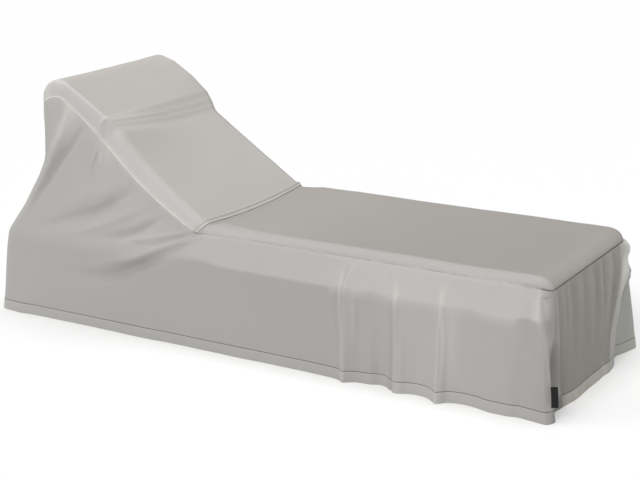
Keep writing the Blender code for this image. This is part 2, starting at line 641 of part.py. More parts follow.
def skirt_grid(seam, turns):
    """The outer face of the skirt: a column for each place on the seam, and rows down to the floor."""
    hem = hem_line(seam, turns)
    height = skirt_heights(seam)
    top_z = np.broadcast_to(seam[:, 2], height.shape)
    near = seam[:, 1] < 0
    foot = seam[:, 0] > 0
    out = np.where(near, NEAR_OUT, FAR_OUT)
    y_share = side_share(height, top_z, np.broadcast_to(out, height.shape), band_heights(seam))
    foot_fall = np.interp(-height, [-z for z, _ in FOOT_FALL_SHARE], [share for _, share in FOOT_FALL_SHARE])
    y_share = np.where(foot, y_share * np.sin(turns) ** 2 + foot_fall * np.cos(turns) ** 2, y_share)
    head_wall = np.interp(-height, [-z for z, _ in HEAD_WALL], [share for _, share in HEAD_WALL])
    head_wall = np.where(head_wall < 0, head_wall * np.cos(turns) ** 2, head_wall)
    foot_wall = np.interp(-height, [-z for z, _ in FOOT_WALL], [share for _, share in FOOT_WALL])
    straight = 1 - height / top_z
    toward = (HEAD_PULL_FROM_X - seam[:, 0]) / (HEAD_PULL_FROM_X - HEAD_PULL_FULL_X)
    toward = np.clip(toward, 0, 1)
    toward = toward * toward * (3 - 2 * toward)
    x_share = np.where(foot, foot_wall, head_wall * toward + straight * (1 - toward))
    grid = np.zeros(height.shape + (3,))
    grid[..., 0] = seam[:, 0] + (hem[:, 0] - seam[:, 0]) * x_share
    grid[..., 1] = seam[:, 1] + (hem[:, 1] - seam[:, 1]) * y_share
    grid[..., 2] = height
    side_pull = np.sin(turns) ** 2
    end_pull = np.cos(turns) ** 2
    x, y, z = grid[..., 0].copy(), grid[..., 1].copy(), grid[..., 2]
    side_fold = np.where(near, fold_height(NEAR_FOLDS, x, z), fold_height(FAR_FOLDS, x, z))
    end_fold = np.where(foot, fold_height(FOOT_FOLDS, y, z), fold_height(HEAD_FOLDS, y, z))
    wave_x, wave = zip(*NEAR_HEM)
    hem_wave = np.interp(hem[:, 0], wave_x, wave) * np.clip(1 - height / NEAR_HEM_TOP, 0, 1)
    side_fold += np.where(near & foot, hem_wave, 0)
    settle = np.clip((top_z - height) / SEAM_SETTLE, 0, 1)
    grid[..., 1] += np.where(near, -1, 1) * side_fold * side_pull * settle
    grid[..., 0] += np.where(foot, 1, -1) * end_fold * end_pull * settle
    return grid


def unit(vectors):
    return vectors / np.maximum(np.linalg.norm(vectors, axis=-1, keepdims=True), 1e-12)


def face_normals(grid, closed):
    """The outward unit normal at each point of a grid, from its neighbours."""
    if closed:
        across = np.roll(grid, -1, axis=1) - np.roll(grid, 1, axis=1)
    else:
        across = np.gradient(grid, axis=1)
    normals = unit(np.cross(np.gradient(grid, axis=0), across))
    if not closed:
        # At a corner both edges run round the seam, so its normal comes from the points beside it.
        for i, i_in in ((0, 1), (-1, -2)):
            for j, j_in in ((0, 1), (-1, -2)):
                normals[i, j] = unit(normals[i, j_in] + normals[i_in, j] + normals[i_in, j_in])
    return normals


def drawn_in(grid, normals, sides):
    """The grid with its named edges drawn back a hair, so that neighbouring panels don't touch."""
    moved = grid.copy()
    edges = {
        "first row": (np.s_[0, :], 1),
        "last row": (np.s_[-1, :], -1),
        "first column": (np.s_[:, 0], -1),
        "last column": (np.s_[:, -1], 1),
    }
    for name, shift in sides.items():
        edge, way = edges[name]
        along = unit(np.gradient(grid[edge], axis=0))
        moved[edge] += unit(np.cross(along, normals[edge])) * way * shift
    return moved


def place(points):
    return points - np.array([SEAT_MIDDLE_X, 0, SEAT_HEIGHT - CLOTH])


def cloth_sheet(name, outer, normals, material, sides, thickness, merged=None, split=1):
    """One closed sheet of cloth: the outer grid, the same grid a thickness inside it, and the rim between.

    merged says which points share the place of the one above them. Faces that this closes up are left out.
    split says which diagonal parts each four-cornered face, so that it runs the way the folds run.
    """
    outer = drawn_in(outer, normals, sides)
    inner = outer - normals * thickness
    rows, columns = outer.shape[:2]
    index = np.arange(rows * columns).reshape(rows, columns)
    if merged is not None:
        for i in range(1, rows):
            index[i] = np.where(merged[i], index[i - 1], index[i])
    used, index = np.unique(index, return_inverse=True)
    index = index.reshape(rows, columns)
    count = len(used)
    points = place(np.concatenate([outer.reshape(-1, 3)[used], inner.reshape(-1, 3)[used]]))
    front = []
    for i in range(rows - 1):
        for j in range(columns - 1):
            a, b = int(index[i, j]), int(index[i + 1, j])
            c, d = int(index[i + 1, j + 1]), int(index[i, j + 1])
            halves = [(a, b, d), (b, c, d)] if split > 0 else [(a, b, c), (a, c, d)]
            front += [half for half in halves if len(set(half)) == 3]
    edges = {}
    for face in front:
        for a, b in zip(face, face[1:] + face[:1]):
            edges[(a, b)] = True
    rim = [(b, a, count + a, count + b) for a, b in edges if (b, a) not in edges]
    back = [[count + c for c in reversed(face)] for face in front]
    mesh = bpy.data.meshes.new(name)
    mesh.from_pydata([tuple(p) for p in points], [], front + back + rim)
    mesh.materials.append(material)
    mesh.shade_smooth()
    mesh.set_sharp_from_angle(angle=SMOOTH_BELOW)
    mesh.update()
    sheet = bpy.data.objects.new(name, mesh)
    bpy.context.scene.collection.objects.link(sheet)
    return sheet


def cloth_material(name, colour, roughness):
    material = bpy.data.materials.new(name)
    material.use_nodes = True
    shader = material.node_tree.nodes["Principled BSDF"]
    shader.inputs["Base Color"].default_value = (*colour, 1)
    shader.inputs["Roughness"].default_value = roughness
    shader.inputs["Metallic"].default_value = 0
    return material


def make_top(grid, normals):
    """The seat panel and the back panel, which meet at the crease, and the tuck sewn along it."""
    crease = int(np.argmin(np.abs(grid[:, len(EDGE_ROWS), 0] - CREASE_X)))
    every = dict.fromkeys(("first row", "last row", "first column", "last column"), SEAM_SHIFT)
    seat_cloth = cloth_material("seat_panel_cloth", (0.42, 0.40, 0.38), 0.9)
    back_cloth = cloth_material("back_panel_cloth", (0.46, 0.44, 0.41), 0.9)
    tuck_cloth = cloth_material("crease_tuck_cloth", (0.45, 0.43, 0.40), 0.9)
    cloth_sheet("seat_panel", grid[crease:], normals[crease:], seat_cloth, every, CLOTH)
    cloth_sheet("back_panel", grid[: crease + 1], normals[: crease + 1], back_cloth, every, CLOTH)
    high, low = crease - 2, crease - 1
    shares = np.linspace(0.02, 0.90, len(TUCK_LIFTS))
    strip = np.array([grid[low] + (grid[high] - grid[low]) * share for share in shares])[::-1]
    strip_normals = np.array([normals[high]] * len(TUCK_LIFTS))
    lifts = np.array(TUCK_LIFTS)[::-1, None, None]
    strip = strip + strip_normals * (CLOTH + lifts)
    cloth_sheet("crease_tuck", strip, strip_normals, tuck_cloth, every, CLOTH)


def make_skirt(grid, normals, seam_columns, merged):
    """The four panels of the skirt, parted at the seams near the corners."""
    cuts = {
        "near_side_panel": (seam_columns["near head"], seam_columns["near foot"]),
        "foot_end_panel": (seam_columns["near foot"], seam_columns["far foot"]),
        "far_side_panel": (seam_columns["far foot"], seam_columns["far head"]),
        "head_end_panel": (seam_columns["far head"], seam_columns["near head"]),
    }
    colours = {
        "near_side_panel": (0.43, 0.42, 0.40),
        "foot_end_panel": (0.40, 0.39, 0.36),
        "far_side_panel": (0.43, 0.42, 0.40),
        "head_end_panel": (0.41, 0.40, 0.38),
    }
    total = grid.shape[1]
    thickness = np.full(grid.shape[:2] + (1,), CLOTH)
    thickness[-2:] += HEM_EXTRA
    hemmed = grid.copy()
    hemmed[-2:] += normals[-2:] * HEM_EXTRA
    for name, (start, end) in cuts.items():
        columns = np.arange(start, end + 1 if end > start else end + 1 + total) % total
        cloth_sheet(
            name,
            hemmed[:, columns],
            normals[:, columns],
            cloth_material(name + "_cloth", colours[name], 0.9),
            {"first row": SEAM_SHIFT, "first column": SEAM_SHIFT, "last column": SEAM_SHIFT},
            thickness[:, columns],
            merged[:, columns],
            -1 if name == "far_side_panel" else 1,
        )


def make_tab(grid, turns):
    """The blank tab, hanging flat against the near corner of the foot."""
    corner = [
        k
        for k in range(grid.shape[1])
        if grid[0, k, 0] > 0.9 and grid[0, k, 1] < 0 and math.radians(5) < turns[k] < math.radians(85)
    ]
    middle = corner[len(corner) // 2]
    heights = grid[:, middle, 2]
    order = np.argsort(heights)
    tops = np.linspace(TAB_TOP_Z, TAB_TOP_Z - TAB_HEIGHT, TAB_ROWS)
    out = unit(np.array([0.5, -0.86, 0.0]))
    across = unit(np.array([0.86, 0.5, 0.0]))
    columns = range(min(corner) - 3, max(corner) + 4)
    rows = []
    for z in tops:
        reach = []
        for k in columns:
            point = [float(np.interp(z, heights[order], grid[order, k, axis])) for axis in (0, 1)]
            reach.append(np.dot(np.array(point + [0.0]), out))
        centre = [float(np.interp(z, heights[order], grid[order, middle, axis])) for axis in (0, 1)]
        centre = np.array(centre + [z])
        stand = max(reach) - float(np.dot(centre * [1, 1, 0], out)) + TAB_GAP + TAB_CLOTH
        places = (TAB_SHIFT - TAB_WIDTH / 2, TAB_SHIFT, TAB_SHIFT + TAB_WIDTH / 2)
        rows.append([centre + out * stand + across * place_along for place_along in places])
    strip = np.array(rows)
    strip_normals = np.broadcast_to(out, strip.shape)
    cloth = cloth_material("label_tab_cloth", (0.012, 0.012, 0.013), 0.7)
    cloth_sheet("label_tab", strip, strip_normals, cloth, {}, TAB_CLOTH)


def main():
    for old in list(bpy.data.objects):
        bpy.data.objects.remove(old, do_unlink=True)
    top = top_grid()
    ring, ring_turns = ring_of(top)
    ring_seam = np.array([top[i, j] for i, j in ring])
    places = column_places(ring_seam, ring_turns)
    seam = between(ring_seam, places)
    turns = between(ring_turns, places)
    skirt = skirt_grid(seam, turns)
    top_normals = face_normals(top, False)
    skirt_normals = face_normals(skirt, True)
    at_ring = [k for k, (_, share) in enumerate(places) if share == 0]
    for k, (i, j) in zip(at_ring, ring):
        shared = unit(top_normals[i, j] + skirt_normals[0, k])
        top_normals[i, j] = shared
    ring_normals = np.array([top_normals[i, j] for i, j in ring])
    skirt_normals[0] = between(ring_normals, places)
    lines, rows = top.shape[:2]
    edge = len(EDGE_ROWS)
    column_of = {place_in_grid: at_ring[k] for k, place_in_grid in enumerate(ring)}
    seam_columns = {
        "near foot": column_of[(lines - 1, edge + ACROSS.index(FOOT_SEAMS[0]))],
        "far foot": column_of[(lines - 1, edge + ACROSS.index(FOOT_SEAMS[1]))],
        "near head": column_of[(0, edge + ACROSS.index(HEAD_SEAMS[0]))],
        "far head": column_of[(0, edge + ACROSS.index(HEAD_SEAMS[1]))],
    }
    make_top(top, top_normals)
    make_skirt(skirt, skirt_normals, seam_columns, merged_rows(seam))
    make_tab(skirt, turns)
    print("top grid", top.shape, "ring", len(ring), "skirt", skirt.shape)


main()
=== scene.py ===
# %% [markdown]
# # A fitted cover for a lounge chair
#
# The real thing is seven pieces of light cloth sewn into one cover, with a small tab. It lies flat over a long
# seat, rises over a leaning back, and hangs to the floor all round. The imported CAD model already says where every
# piece goes, so this lesson starts by loading it and keeping its box. Each piece made below stands exactly where
# its CAD node is.

import math

import bpy
import numpy as np
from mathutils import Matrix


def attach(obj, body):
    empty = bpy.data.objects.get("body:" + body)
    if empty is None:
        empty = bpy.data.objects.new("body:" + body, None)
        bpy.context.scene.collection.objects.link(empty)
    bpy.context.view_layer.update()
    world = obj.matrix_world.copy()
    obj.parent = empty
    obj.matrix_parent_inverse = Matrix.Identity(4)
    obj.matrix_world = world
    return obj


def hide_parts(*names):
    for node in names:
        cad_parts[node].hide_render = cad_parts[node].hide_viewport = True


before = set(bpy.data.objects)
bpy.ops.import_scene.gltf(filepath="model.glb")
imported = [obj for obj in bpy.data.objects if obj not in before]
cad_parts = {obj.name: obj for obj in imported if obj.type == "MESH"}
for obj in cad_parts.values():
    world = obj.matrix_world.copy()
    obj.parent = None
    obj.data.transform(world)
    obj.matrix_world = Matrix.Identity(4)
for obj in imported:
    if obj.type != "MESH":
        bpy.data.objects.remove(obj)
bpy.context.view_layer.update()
print("CAD nodes:", sorted(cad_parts))

# %% [markdown]
# ## Sizes
#
# A maker works from a sheet of sizes, and so do we. The shape is worked out from the floor up: x runs from the
# head to the foot, the near long side is at -y and z = 0 is the floor. At the very end place() moves it all to
# the model's own origin, the middle of the seat. Most sizes here are the ones that the solids were made with.
# The folds and the hem are drawn finer than theirs.

# %% Cloth and sewing sizes
CLOTH = 0.002
HEM_EXTRA = 0.001
HEM_DEPTH = 0.040
HEM_STITCH_Z = HEM_DEPTH - 0.003
SEAM_SHIFT = 0.00028
SEAT_HEIGHT = 0.425
SEAT_MIDDLE_X = 0.420
FLAT_HALF = 0.305
EDGE_REACH = 0.030
EDGE_TURN = math.radians(62)
EDGE_LEAN = 0.004
FOOT_REACH = 0.050
FOOT_FALL = 0.034
HEAD_EDGE_RADIUS = 0.072
HEAD_EDGE_DROP = 0.022
BACK_LEAN = math.radians(30.8)


def place(points):
    """Moves points from the floor's frame to the model's."""
    return points - np.array([SEAT_MIDDLE_X, 0, SEAT_HEIGHT - CLOTH])


# %% The line along the top, and the seam along each side
TOP_LINE = (
    ("head edge", -0.8130, 0.8600, 0.000),
    ("step, top", -0.6320, 0.7520, 0.011),
    ("step, waist", -0.6225, 0.7330, 0.006),
    ("step, ledge", -0.6130, 0.7190, 0.006),
    ("step, foot", -0.5980, 0.6800, 0.014),
    ("top of the tuck", -0.2380, 0.4427, 0.000),
    ("crease", -0.2050, 0.4210, 0.010),
    ("foot edge", 1.0165, 0.4250, 0.000),
)
SIDE_SEAM = (
    ("head edge", -0.8130, -0.825, 0.815),
    ("head", -0.7400, -0.765, 0.777),
    ("step, top", -0.6320, -0.665, 0.700),
    ("step, foot", -0.5980, -0.615, 0.655),
    ("middle of the back", -0.4500, -0.480, 0.537),
    ("foot of the back", -0.3000, -0.328, 0.438),
    ("crease", -0.2050, -0.236, 0.394),
    ("seat", -0.1200, -0.120, 0.399),
    ("foot edge", 1.0165, 1.0165, 0.399),
)
SEAT_RISE = ((-0.305, 0.002), (-0.200, 0.000), (0.000, -0.002), (0.200, 0.004), (0.305, 0.013))
BRIDGE_LIFT = (
    (-0.640, 0.000), (-0.598, 0.042), (-0.575, 0.048), (-0.530, 0.032), (-0.480, 0.017), (-0.375, 0.005),
    (-0.250, 0.000),
)
BRIDGE_SHARE = ((-0.305, 1.00), (-0.200, 0.72), (-0.100, 0.42), (0.000, 0.20), (0.100, 0.08), (0.250, 0.00))
CORNER_FULLNESS = {"near foot": 0.85, "far foot": 0.50, "near head": 1.0, "far head": 0.80}
HEAD_RISE = ((-0.305, 0.000), (0.000, 0.001), (0.180, 0.003), (0.305, 0.015))
HEAD_RISE_FOOT_X = -0.64
HEAD_RISE_END_X = -0.83
CREASE_DIP = 0.008
CREASE_BOW = 0.012
CREASE_BOW_REACH = 0.040
CREASE_BOW_HALF = 0.30
CREASE_X = TOP_LINE[-2][1]

# %% The skirt from the seam down to the floor
LEDGE_Z = 0.385
BAND_OUT = 0.050
NEAR_OUT = 0.080
FAR_OUT = 0.062
BACK_SAG = 0.007
SAG_FROM_Z = 0.45
SAG_FULL_Z = 0.75
SEAM_SETTLE = 0.012
FAN_FROM_X = -0.200
FAN = 1.340
HEAD_PULL_FROM_X = -0.45
HEAD_PULL_FULL_X = -0.80
BAND_LINE = (
    (-0.450, 0.290), (-0.348, 0.299), (-0.202, 0.314), (-0.111, 0.303), (0.280, 0.302), (0.348, 0.308),
    (0.400, 0.304), (0.452, 0.313), (0.475, 0.306), (0.600, 0.305), (0.820, 0.309), (0.869, 0.301),
    (0.941, 0.299), (0.992, 0.310), (1.057, 0.313),
)
BAND_SOFTNESS = ((-0.420, 0.060), (-0.230, 0.020), (-0.120, 0.003))
HEAD_WALL = (
    (0.00, 1.00), (0.29, 0.90), (0.33, 0.78), (0.397, 0.52), (0.464, 0.30), (0.53, 0.09), (0.60, -0.04),
    (0.68, -0.03), (0.75, 0.00), (0.83, 0.00),
)
FOOT_WALL = ((0.00, 1.00), (0.20, 0.62), (0.31, 0.36), (0.40, 0.00))
FOOT_FALL_SHARE = ((0.00, 1.00), (0.105, 0.90), (0.171, 0.72), (0.244, 0.47), (0.318, 0.21), (0.392, 0.00))
FOOT_SPREAD = ((-0.305, -0.365), (-0.285, -0.283), (0.000, -0.020), (0.280, 0.095), (0.305, 0.322))
HEAD_SPREAD = ((-0.305, -0.340), (0.305, 0.340))
FOOT_HEM = (
    (-0.417, 1.120), (-0.385, 1.098), (-0.350, 1.092), (-0.298, 1.098), (-0.264, 1.101), (-0.186, 1.111),
    (0.020, 1.116), (0.085, 1.120), (0.121, 1.117), (0.170, 1.106), (0.200, 1.086), (0.235, 1.084),
    (0.286, 1.100), (0.354, 1.118),
)
HEM_CORNERS = {
    "near foot": (1.126, -0.419, 0.030, 0.45),
    "far foot": (1.118, 0.385, 0.035, 0.55),
    "near head": (-1.091, -0.415, 0.055, 0.60),
    "far head": (-1.096, 0.397, 0.055, 0.60),
}
FOOT_SEAMS = (-0.285, 0.280)
HEAD_SEAMS = (-0.285, 0.280)
NEAR_DRIFT = (
    (0.000, 0.000), (0.250, 0.015), (0.357, 0.036), (0.556, 0.029), (0.722, 0.020), (0.900, 0.008),
    (1.000, 0.000),
)
NEAR_HEM = (
    (0.250, 0.000), (0.335, 0.003), (0.372, 0.009), (0.396, 0.021), (0.418, 0.009), (0.440, -0.001),
    (0.480, -0.006), (0.515, -0.019), (0.541, -0.011), (0.565, 0.012), (0.584, 0.023), (0.601, 0.020),
    (0.620, 0.010), (0.656, 0.001), (0.680, 0.003), (0.704, 0.011), (0.722, 0.024), (0.741, 0.034),
    (0.754, 0.028), (0.768, 0.013), (0.786, 0.004), (0.825, -0.001), (0.869, 0.005), (0.916, 0.016),
    (0.977, 0.017), (1.015, 0.010), (1.055, 0.012), (1.110, 0.014),
)
NEAR_HEM_TOP = 0.345

# %% [markdown]
# ## Folds
#
# Cloth that hangs from a seam folds where it is pulled or gathered. Each fold here is one row of a table: its
# name, its kind, its half width, the length of a step's tail, and the points that its ridge passes through, as
# place along the side, height, and how far it stands out. A soft fold is a round ridge or trough. A sharp one
# comes to a crest. A step rises at once and then dies away, as a pressed pleat does.

# %% Folds of the near side
NEAR_FOLDS = (
    ("pull to the base corner", "soft", 0.018, 0,
     ((-0.780, 0.745, 0.003), (-0.798, 0.705, 0.010), (-0.820, 0.665, 0.015), (-0.850, 0.610, 0.018),
      (-0.903, 0.517, 0.015), (-0.945, 0.444, 0.008), (-0.990, 0.370, 0.002))),
    ("hollow beside the pull", "soft", 0.014, 0,
     ((-0.698, 0.735, 0.000), (-0.745, 0.680, -0.009), (-0.797, 0.620, -0.014), (-0.840, 0.568, -0.015),
      (-0.876, 0.512, -0.013), (-0.915, 0.457, -0.010), (-0.953, 0.398, -0.003))),
    ("bulge over the long swag", "soft", 0.028, 0,
     ((-0.540, 0.540, 0.001), (-0.620, 0.498, 0.006), (-0.700, 0.470, 0.007), (-0.780, 0.440, 0.003))),
    ("long swag", "soft", 0.019, 0,
     ((-0.500, 0.512, -0.002), (-0.567, 0.472, -0.011), (-0.607, 0.447, -0.017), (-0.672, 0.413, -0.017),
      (-0.734, 0.397, -0.014), (-0.798, 0.373, -0.009), (-0.863, 0.348, -0.005), (-0.918, 0.335, -0.001))),
    ("ridge between the swags", "soft", 0.013, 0,
     ((-0.418, 0.478, 0.001), (-0.509, 0.432, 0.004), (-0.605, 0.388, 0.006), (-0.699, 0.350, 0.005),
      (-0.792, 0.318, 0.001))),
    ("short swag", "soft", 0.015, 0,
     ((-0.365, 0.436, -0.001), (-0.416, 0.406, -0.009), (-0.475, 0.373, -0.015), (-0.538, 0.349, -0.014),
      (-0.603, 0.337, -0.006), (-0.660, 0.330, -0.001))),
    ("tuck at the crease", "sharp", 0.008, 0,
     ((-0.240, 0.390, -0.005), (-0.313, 0.368, -0.012), (-0.366, 0.349, -0.010), (-0.410, 0.337, -0.004),
      (-0.520, 0.330, -0.001))),
    ("roll under the tuck", "soft", 0.014, 0,
     ((-0.248, 0.378, 0.005), (-0.337, 0.346, 0.011), (-0.406, 0.313, 0.013), (-0.492, 0.277, 0.012),
      (-0.600, 0.250, 0.005))),
    ("low swag", "soft", 0.020, 0,
     ((-0.236, 0.368, -0.001), (-0.287, 0.343, -0.005), (-0.344, 0.317, -0.010), (-0.408, 0.282, -0.015),
      (-0.463, 0.252, -0.020), (-0.512, 0.229, -0.020), (-0.568, 0.207, -0.016), (-0.636, 0.192, -0.010),
      (-0.740, 0.185, -0.002))),
    ("corner roll", "soft", 0.012, 0,
     ((1.034, 0.385, 0.003), (1.046, 0.350, 0.008), (1.062, 0.300, 0.008), (1.082, 0.220, 0.007),
      (1.105, 0.000, 0.005))),
    ("hollow beside the corner roll", "soft", 0.014, 0,
     ((1.008, 0.360, -0.001), (1.022, 0.300, -0.004), (1.045, 0.200, -0.004), (1.070, 0.060, -0.001))),
    ("hollow round the corner", "soft", 0.014, 0,
     ((1.070, 0.340, -0.003), (1.092, 0.280, -0.009), (1.104, 0.220, -0.015), (1.112, 0.170, -0.024),
      (1.116, 0.100, -0.026), (1.120, 0.040, -0.008))),
    ("hem ripple at the head", "soft", 0.035, 0, ((-0.990, 0.120, 0.000), (-0.990, 0.000, 0.006))),
)

# %% The finer creases that only show from close by
NEAR_CREASES = (
    ("short pull under the head", "sharp", 0.006, 0,
     ((-0.781, 0.800, 0.001), (-0.782, 0.779, 0.005), (-0.794, 0.741, 0.007), (-0.808, 0.712, 0.004),
      (-0.820, 0.686, 0.001))),
    ("pull below the step", "sharp", 0.005, 0,
     ((-0.642, 0.690, 0.004), (-0.651, 0.660, 0.006), (-0.662, 0.630, 0.005), (-0.679, 0.589, 0.001))),
    ("pinch beside that pull", "sharp", 0.0045, 0,
     ((-0.652, 0.665, -0.002), (-0.660, 0.630, -0.004), (-0.670, 0.595, -0.003), (-0.682, 0.565, -0.001))),
    ("second pull below the step", "soft", 0.008, 0,
     ((-0.636, 0.660, 0.003), (-0.640, 0.620, 0.004), (-0.648, 0.585, 0.001))),
    ("line over the tuck", "sharp", 0.006, 0,
     ((-0.262, 0.396, 0.001), (-0.330, 0.382, 0.004), (-0.420, 0.360, 0.004), (-0.558, 0.328, 0.001))),
    ("crease below the crease tuck", "sharp", 0.006, 0,
     ((-0.420, 0.340, 0.000), (-0.470, 0.333, -0.003), (-0.530, 0.331, 0.000))),
    ("left crest of the first pleat", "sharp", 0.0045, 0,
     ((0.363, 0.390, 0.000), (0.362, 0.365, 0.004), (0.357, 0.335, 0.005), (0.354, 0.300, 0.005),
      (0.358, 0.219, 0.003), (0.366, 0.160, 0.000))),
    ("right crest of the first pleat", "sharp", 0.0045, 0,
     ((0.380, 0.390, 0.000), (0.378, 0.360, 0.003), (0.375, 0.320, 0.005), (0.374, 0.268, 0.004),
      (0.382, 0.210, 0.000))),
    ("groove between the crests", "soft", 0.0050, 0,
     ((0.372, 0.380, 0.000), (0.369, 0.345, -0.004), (0.365, 0.300, -0.004), (0.367, 0.230, 0.000))),
    ("valley left of the first pleat", "soft", 0.0060, 0,
     ((0.344, 0.330, 0.000), (0.344, 0.280, -0.004), (0.350, 0.200, -0.003), (0.364, 0.100, -0.001))),
    ("lower ridge of the first pleat", "soft", 0.0085, 0,
     ((0.368, 0.230, 0.000), (0.378, 0.160, 0.004), (0.388, 0.060, 0.005), (0.394, 0.000, 0.005))),
    ("short crease by the first pleat", "sharp", 0.004, 0,
     ((0.398, 0.392, 0.000), (0.395, 0.372, 0.003), (0.391, 0.350, 0.000))),
    ("fold after the first pleat", "soft", 0.008, 0,
     ((0.404, 0.290, 0.000), (0.410, 0.252, 0.003), (0.419, 0.177, 0.003), (0.426, 0.100, 0.000))),
    ("valley after that fold", "soft", 0.008, 0,
     ((0.420, 0.290, 0.000), (0.427, 0.230, -0.001), (0.438, 0.120, 0.000))),
    ("crease before the middle pleat", "sharp", 0.004, 0,
     ((0.517, 0.392, 0.000), (0.512, 0.370, 0.003), (0.508, 0.335, 0.000))),
    ("crest of the middle pleat", "sharp", 0.0045, 0,
     ((0.552, 0.375, 0.001), (0.555, 0.336, 0.006), (0.559, 0.300, 0.007), (0.562, 0.255, 0.005),
      (0.570, 0.178, 0.002), (0.582, 0.060, 0.001))),
    ("valley left of the middle pleat", "soft", 0.008, 0,
     ((0.549, 0.300, 0.000), (0.550, 0.250, -0.004), (0.556, 0.177, -0.005), (0.562, 0.100, -0.006),
      (0.568, 0.000, -0.007))),
    ("crest of the last pleat", "sharp", 0.0045, 0,
     ((0.716, 0.372, 0.001), (0.720, 0.345, 0.006), (0.724, 0.300, 0.008), (0.727, 0.207, 0.008),
      (0.734, 0.109, 0.007), (0.741, 0.000, 0.006))),
    ("second crest of the last pleat", "sharp", 0.004, 0,
     ((0.728, 0.372, 0.001), (0.732, 0.335, 0.004), (0.734, 0.300, 0.003), (0.735, 0.266, 0.000))),
    ("valley right of the last pleat", "soft", 0.010, 0,
     ((0.738, 0.300, 0.000), (0.744, 0.240, -0.002), (0.750, 0.150, -0.003), (0.756, 0.060, -0.003),
      (0.760, 0.000, -0.003))),
    ("corner ridge", "sharp", 0.005, 0,
     ((1.033, 0.392, 0.001), (1.040, 0.365, 0.006), (1.048, 0.335, 0.007), (1.062, 0.295, 0.004),
      (1.074, 0.260, 0.002))),
    ("second corner ridge", "sharp", 0.004, 0,
     ((1.042, 0.392, 0.001), (1.052, 0.370, 0.005), (1.063, 0.350, 0.005), (1.073, 0.325, 0.001))),
    ("crease between the ridges", "sharp", 0.005, 0,
     ((1.046, 0.380, -0.003), (1.054, 0.355, -0.007), (1.066, 0.325, -0.008), (1.078, 0.285, -0.005),
      (1.086, 0.250, -0.001))),
)
print("near side:", len(NEAR_FOLDS), "folds and", len(NEAR_CREASES), "creases")

# %% Folds of the far side
FAR_FOLDS = (
    ("pull to the base corner", "soft", 0.028, 0,
     ((-0.800, 0.790, 0.003), (-0.850, 0.690, 0.012), (-0.920, 0.550, 0.018), (-0.990, 0.430, 0.014),
      (-1.050, 0.330, 0.005))),
    ("hollow beside the pull", "soft", 0.038, 0,
     ((-0.750, 0.750, -0.004), (-0.810, 0.650, -0.013), (-0.870, 0.540, -0.014), (-0.940, 0.410, -0.004))),
    ("long swag", "soft", 0.032, 0,
     ((-0.460, 0.500, -0.004), (-0.580, 0.445, -0.011), (-0.720, 0.400, -0.011), (-0.900, 0.350, -0.003))),
    ("tuck at the crease", "sharp", 0.012, 0,
     ((-0.245, 0.385, -0.005), (-0.350, 0.358, -0.009), (-0.480, 0.320, -0.002))),
    ("low swag", "soft", 0.034, 0,
     ((-0.260, 0.330, -0.003), (-0.420, 0.290, -0.010), (-0.580, 0.235, -0.012), (-0.760, 0.200, -0.003))),
    ("flap at the foot corner", "soft", 0.022, 0,
     ((1.040, 0.398, 0.028), (1.046, 0.385, 0.031), (1.050, 0.362, 0.022), (1.052, 0.338, 0.000),
      (1.055, 0.315, -0.012), (1.060, 0.285, -0.006))),
    ("hollow below the flap", "soft", 0.030, 0,
     ((1.062, 0.300, -0.004), (1.072, 0.240, -0.008), (1.090, 0.120, -0.004), (1.105, 0.030, 0.000))),
    ("first pleat", "step", 0.006, 0.070,
     ((0.180, 0.370, 0.000), (0.180, 0.300, 0.008), (0.180, 0.000, 0.018))),
    ("last pleat", "step", 0.006, 0.090,
     ((0.640, 0.370, 0.000), (0.640, 0.300, 0.010), (0.640, 0.000, 0.026))),
    ("crest of the first pleat", "sharp", 0.004, 0,
     ((0.184, 0.350, 0.000), (0.184, 0.300, 0.003), (0.184, 0.000, 0.003))),
    ("crest of the last pleat", "sharp", 0.004, 0,
     ((0.644, 0.350, 0.000), (0.644, 0.300, 0.003), (0.644, 0.000, 0.003))),
)

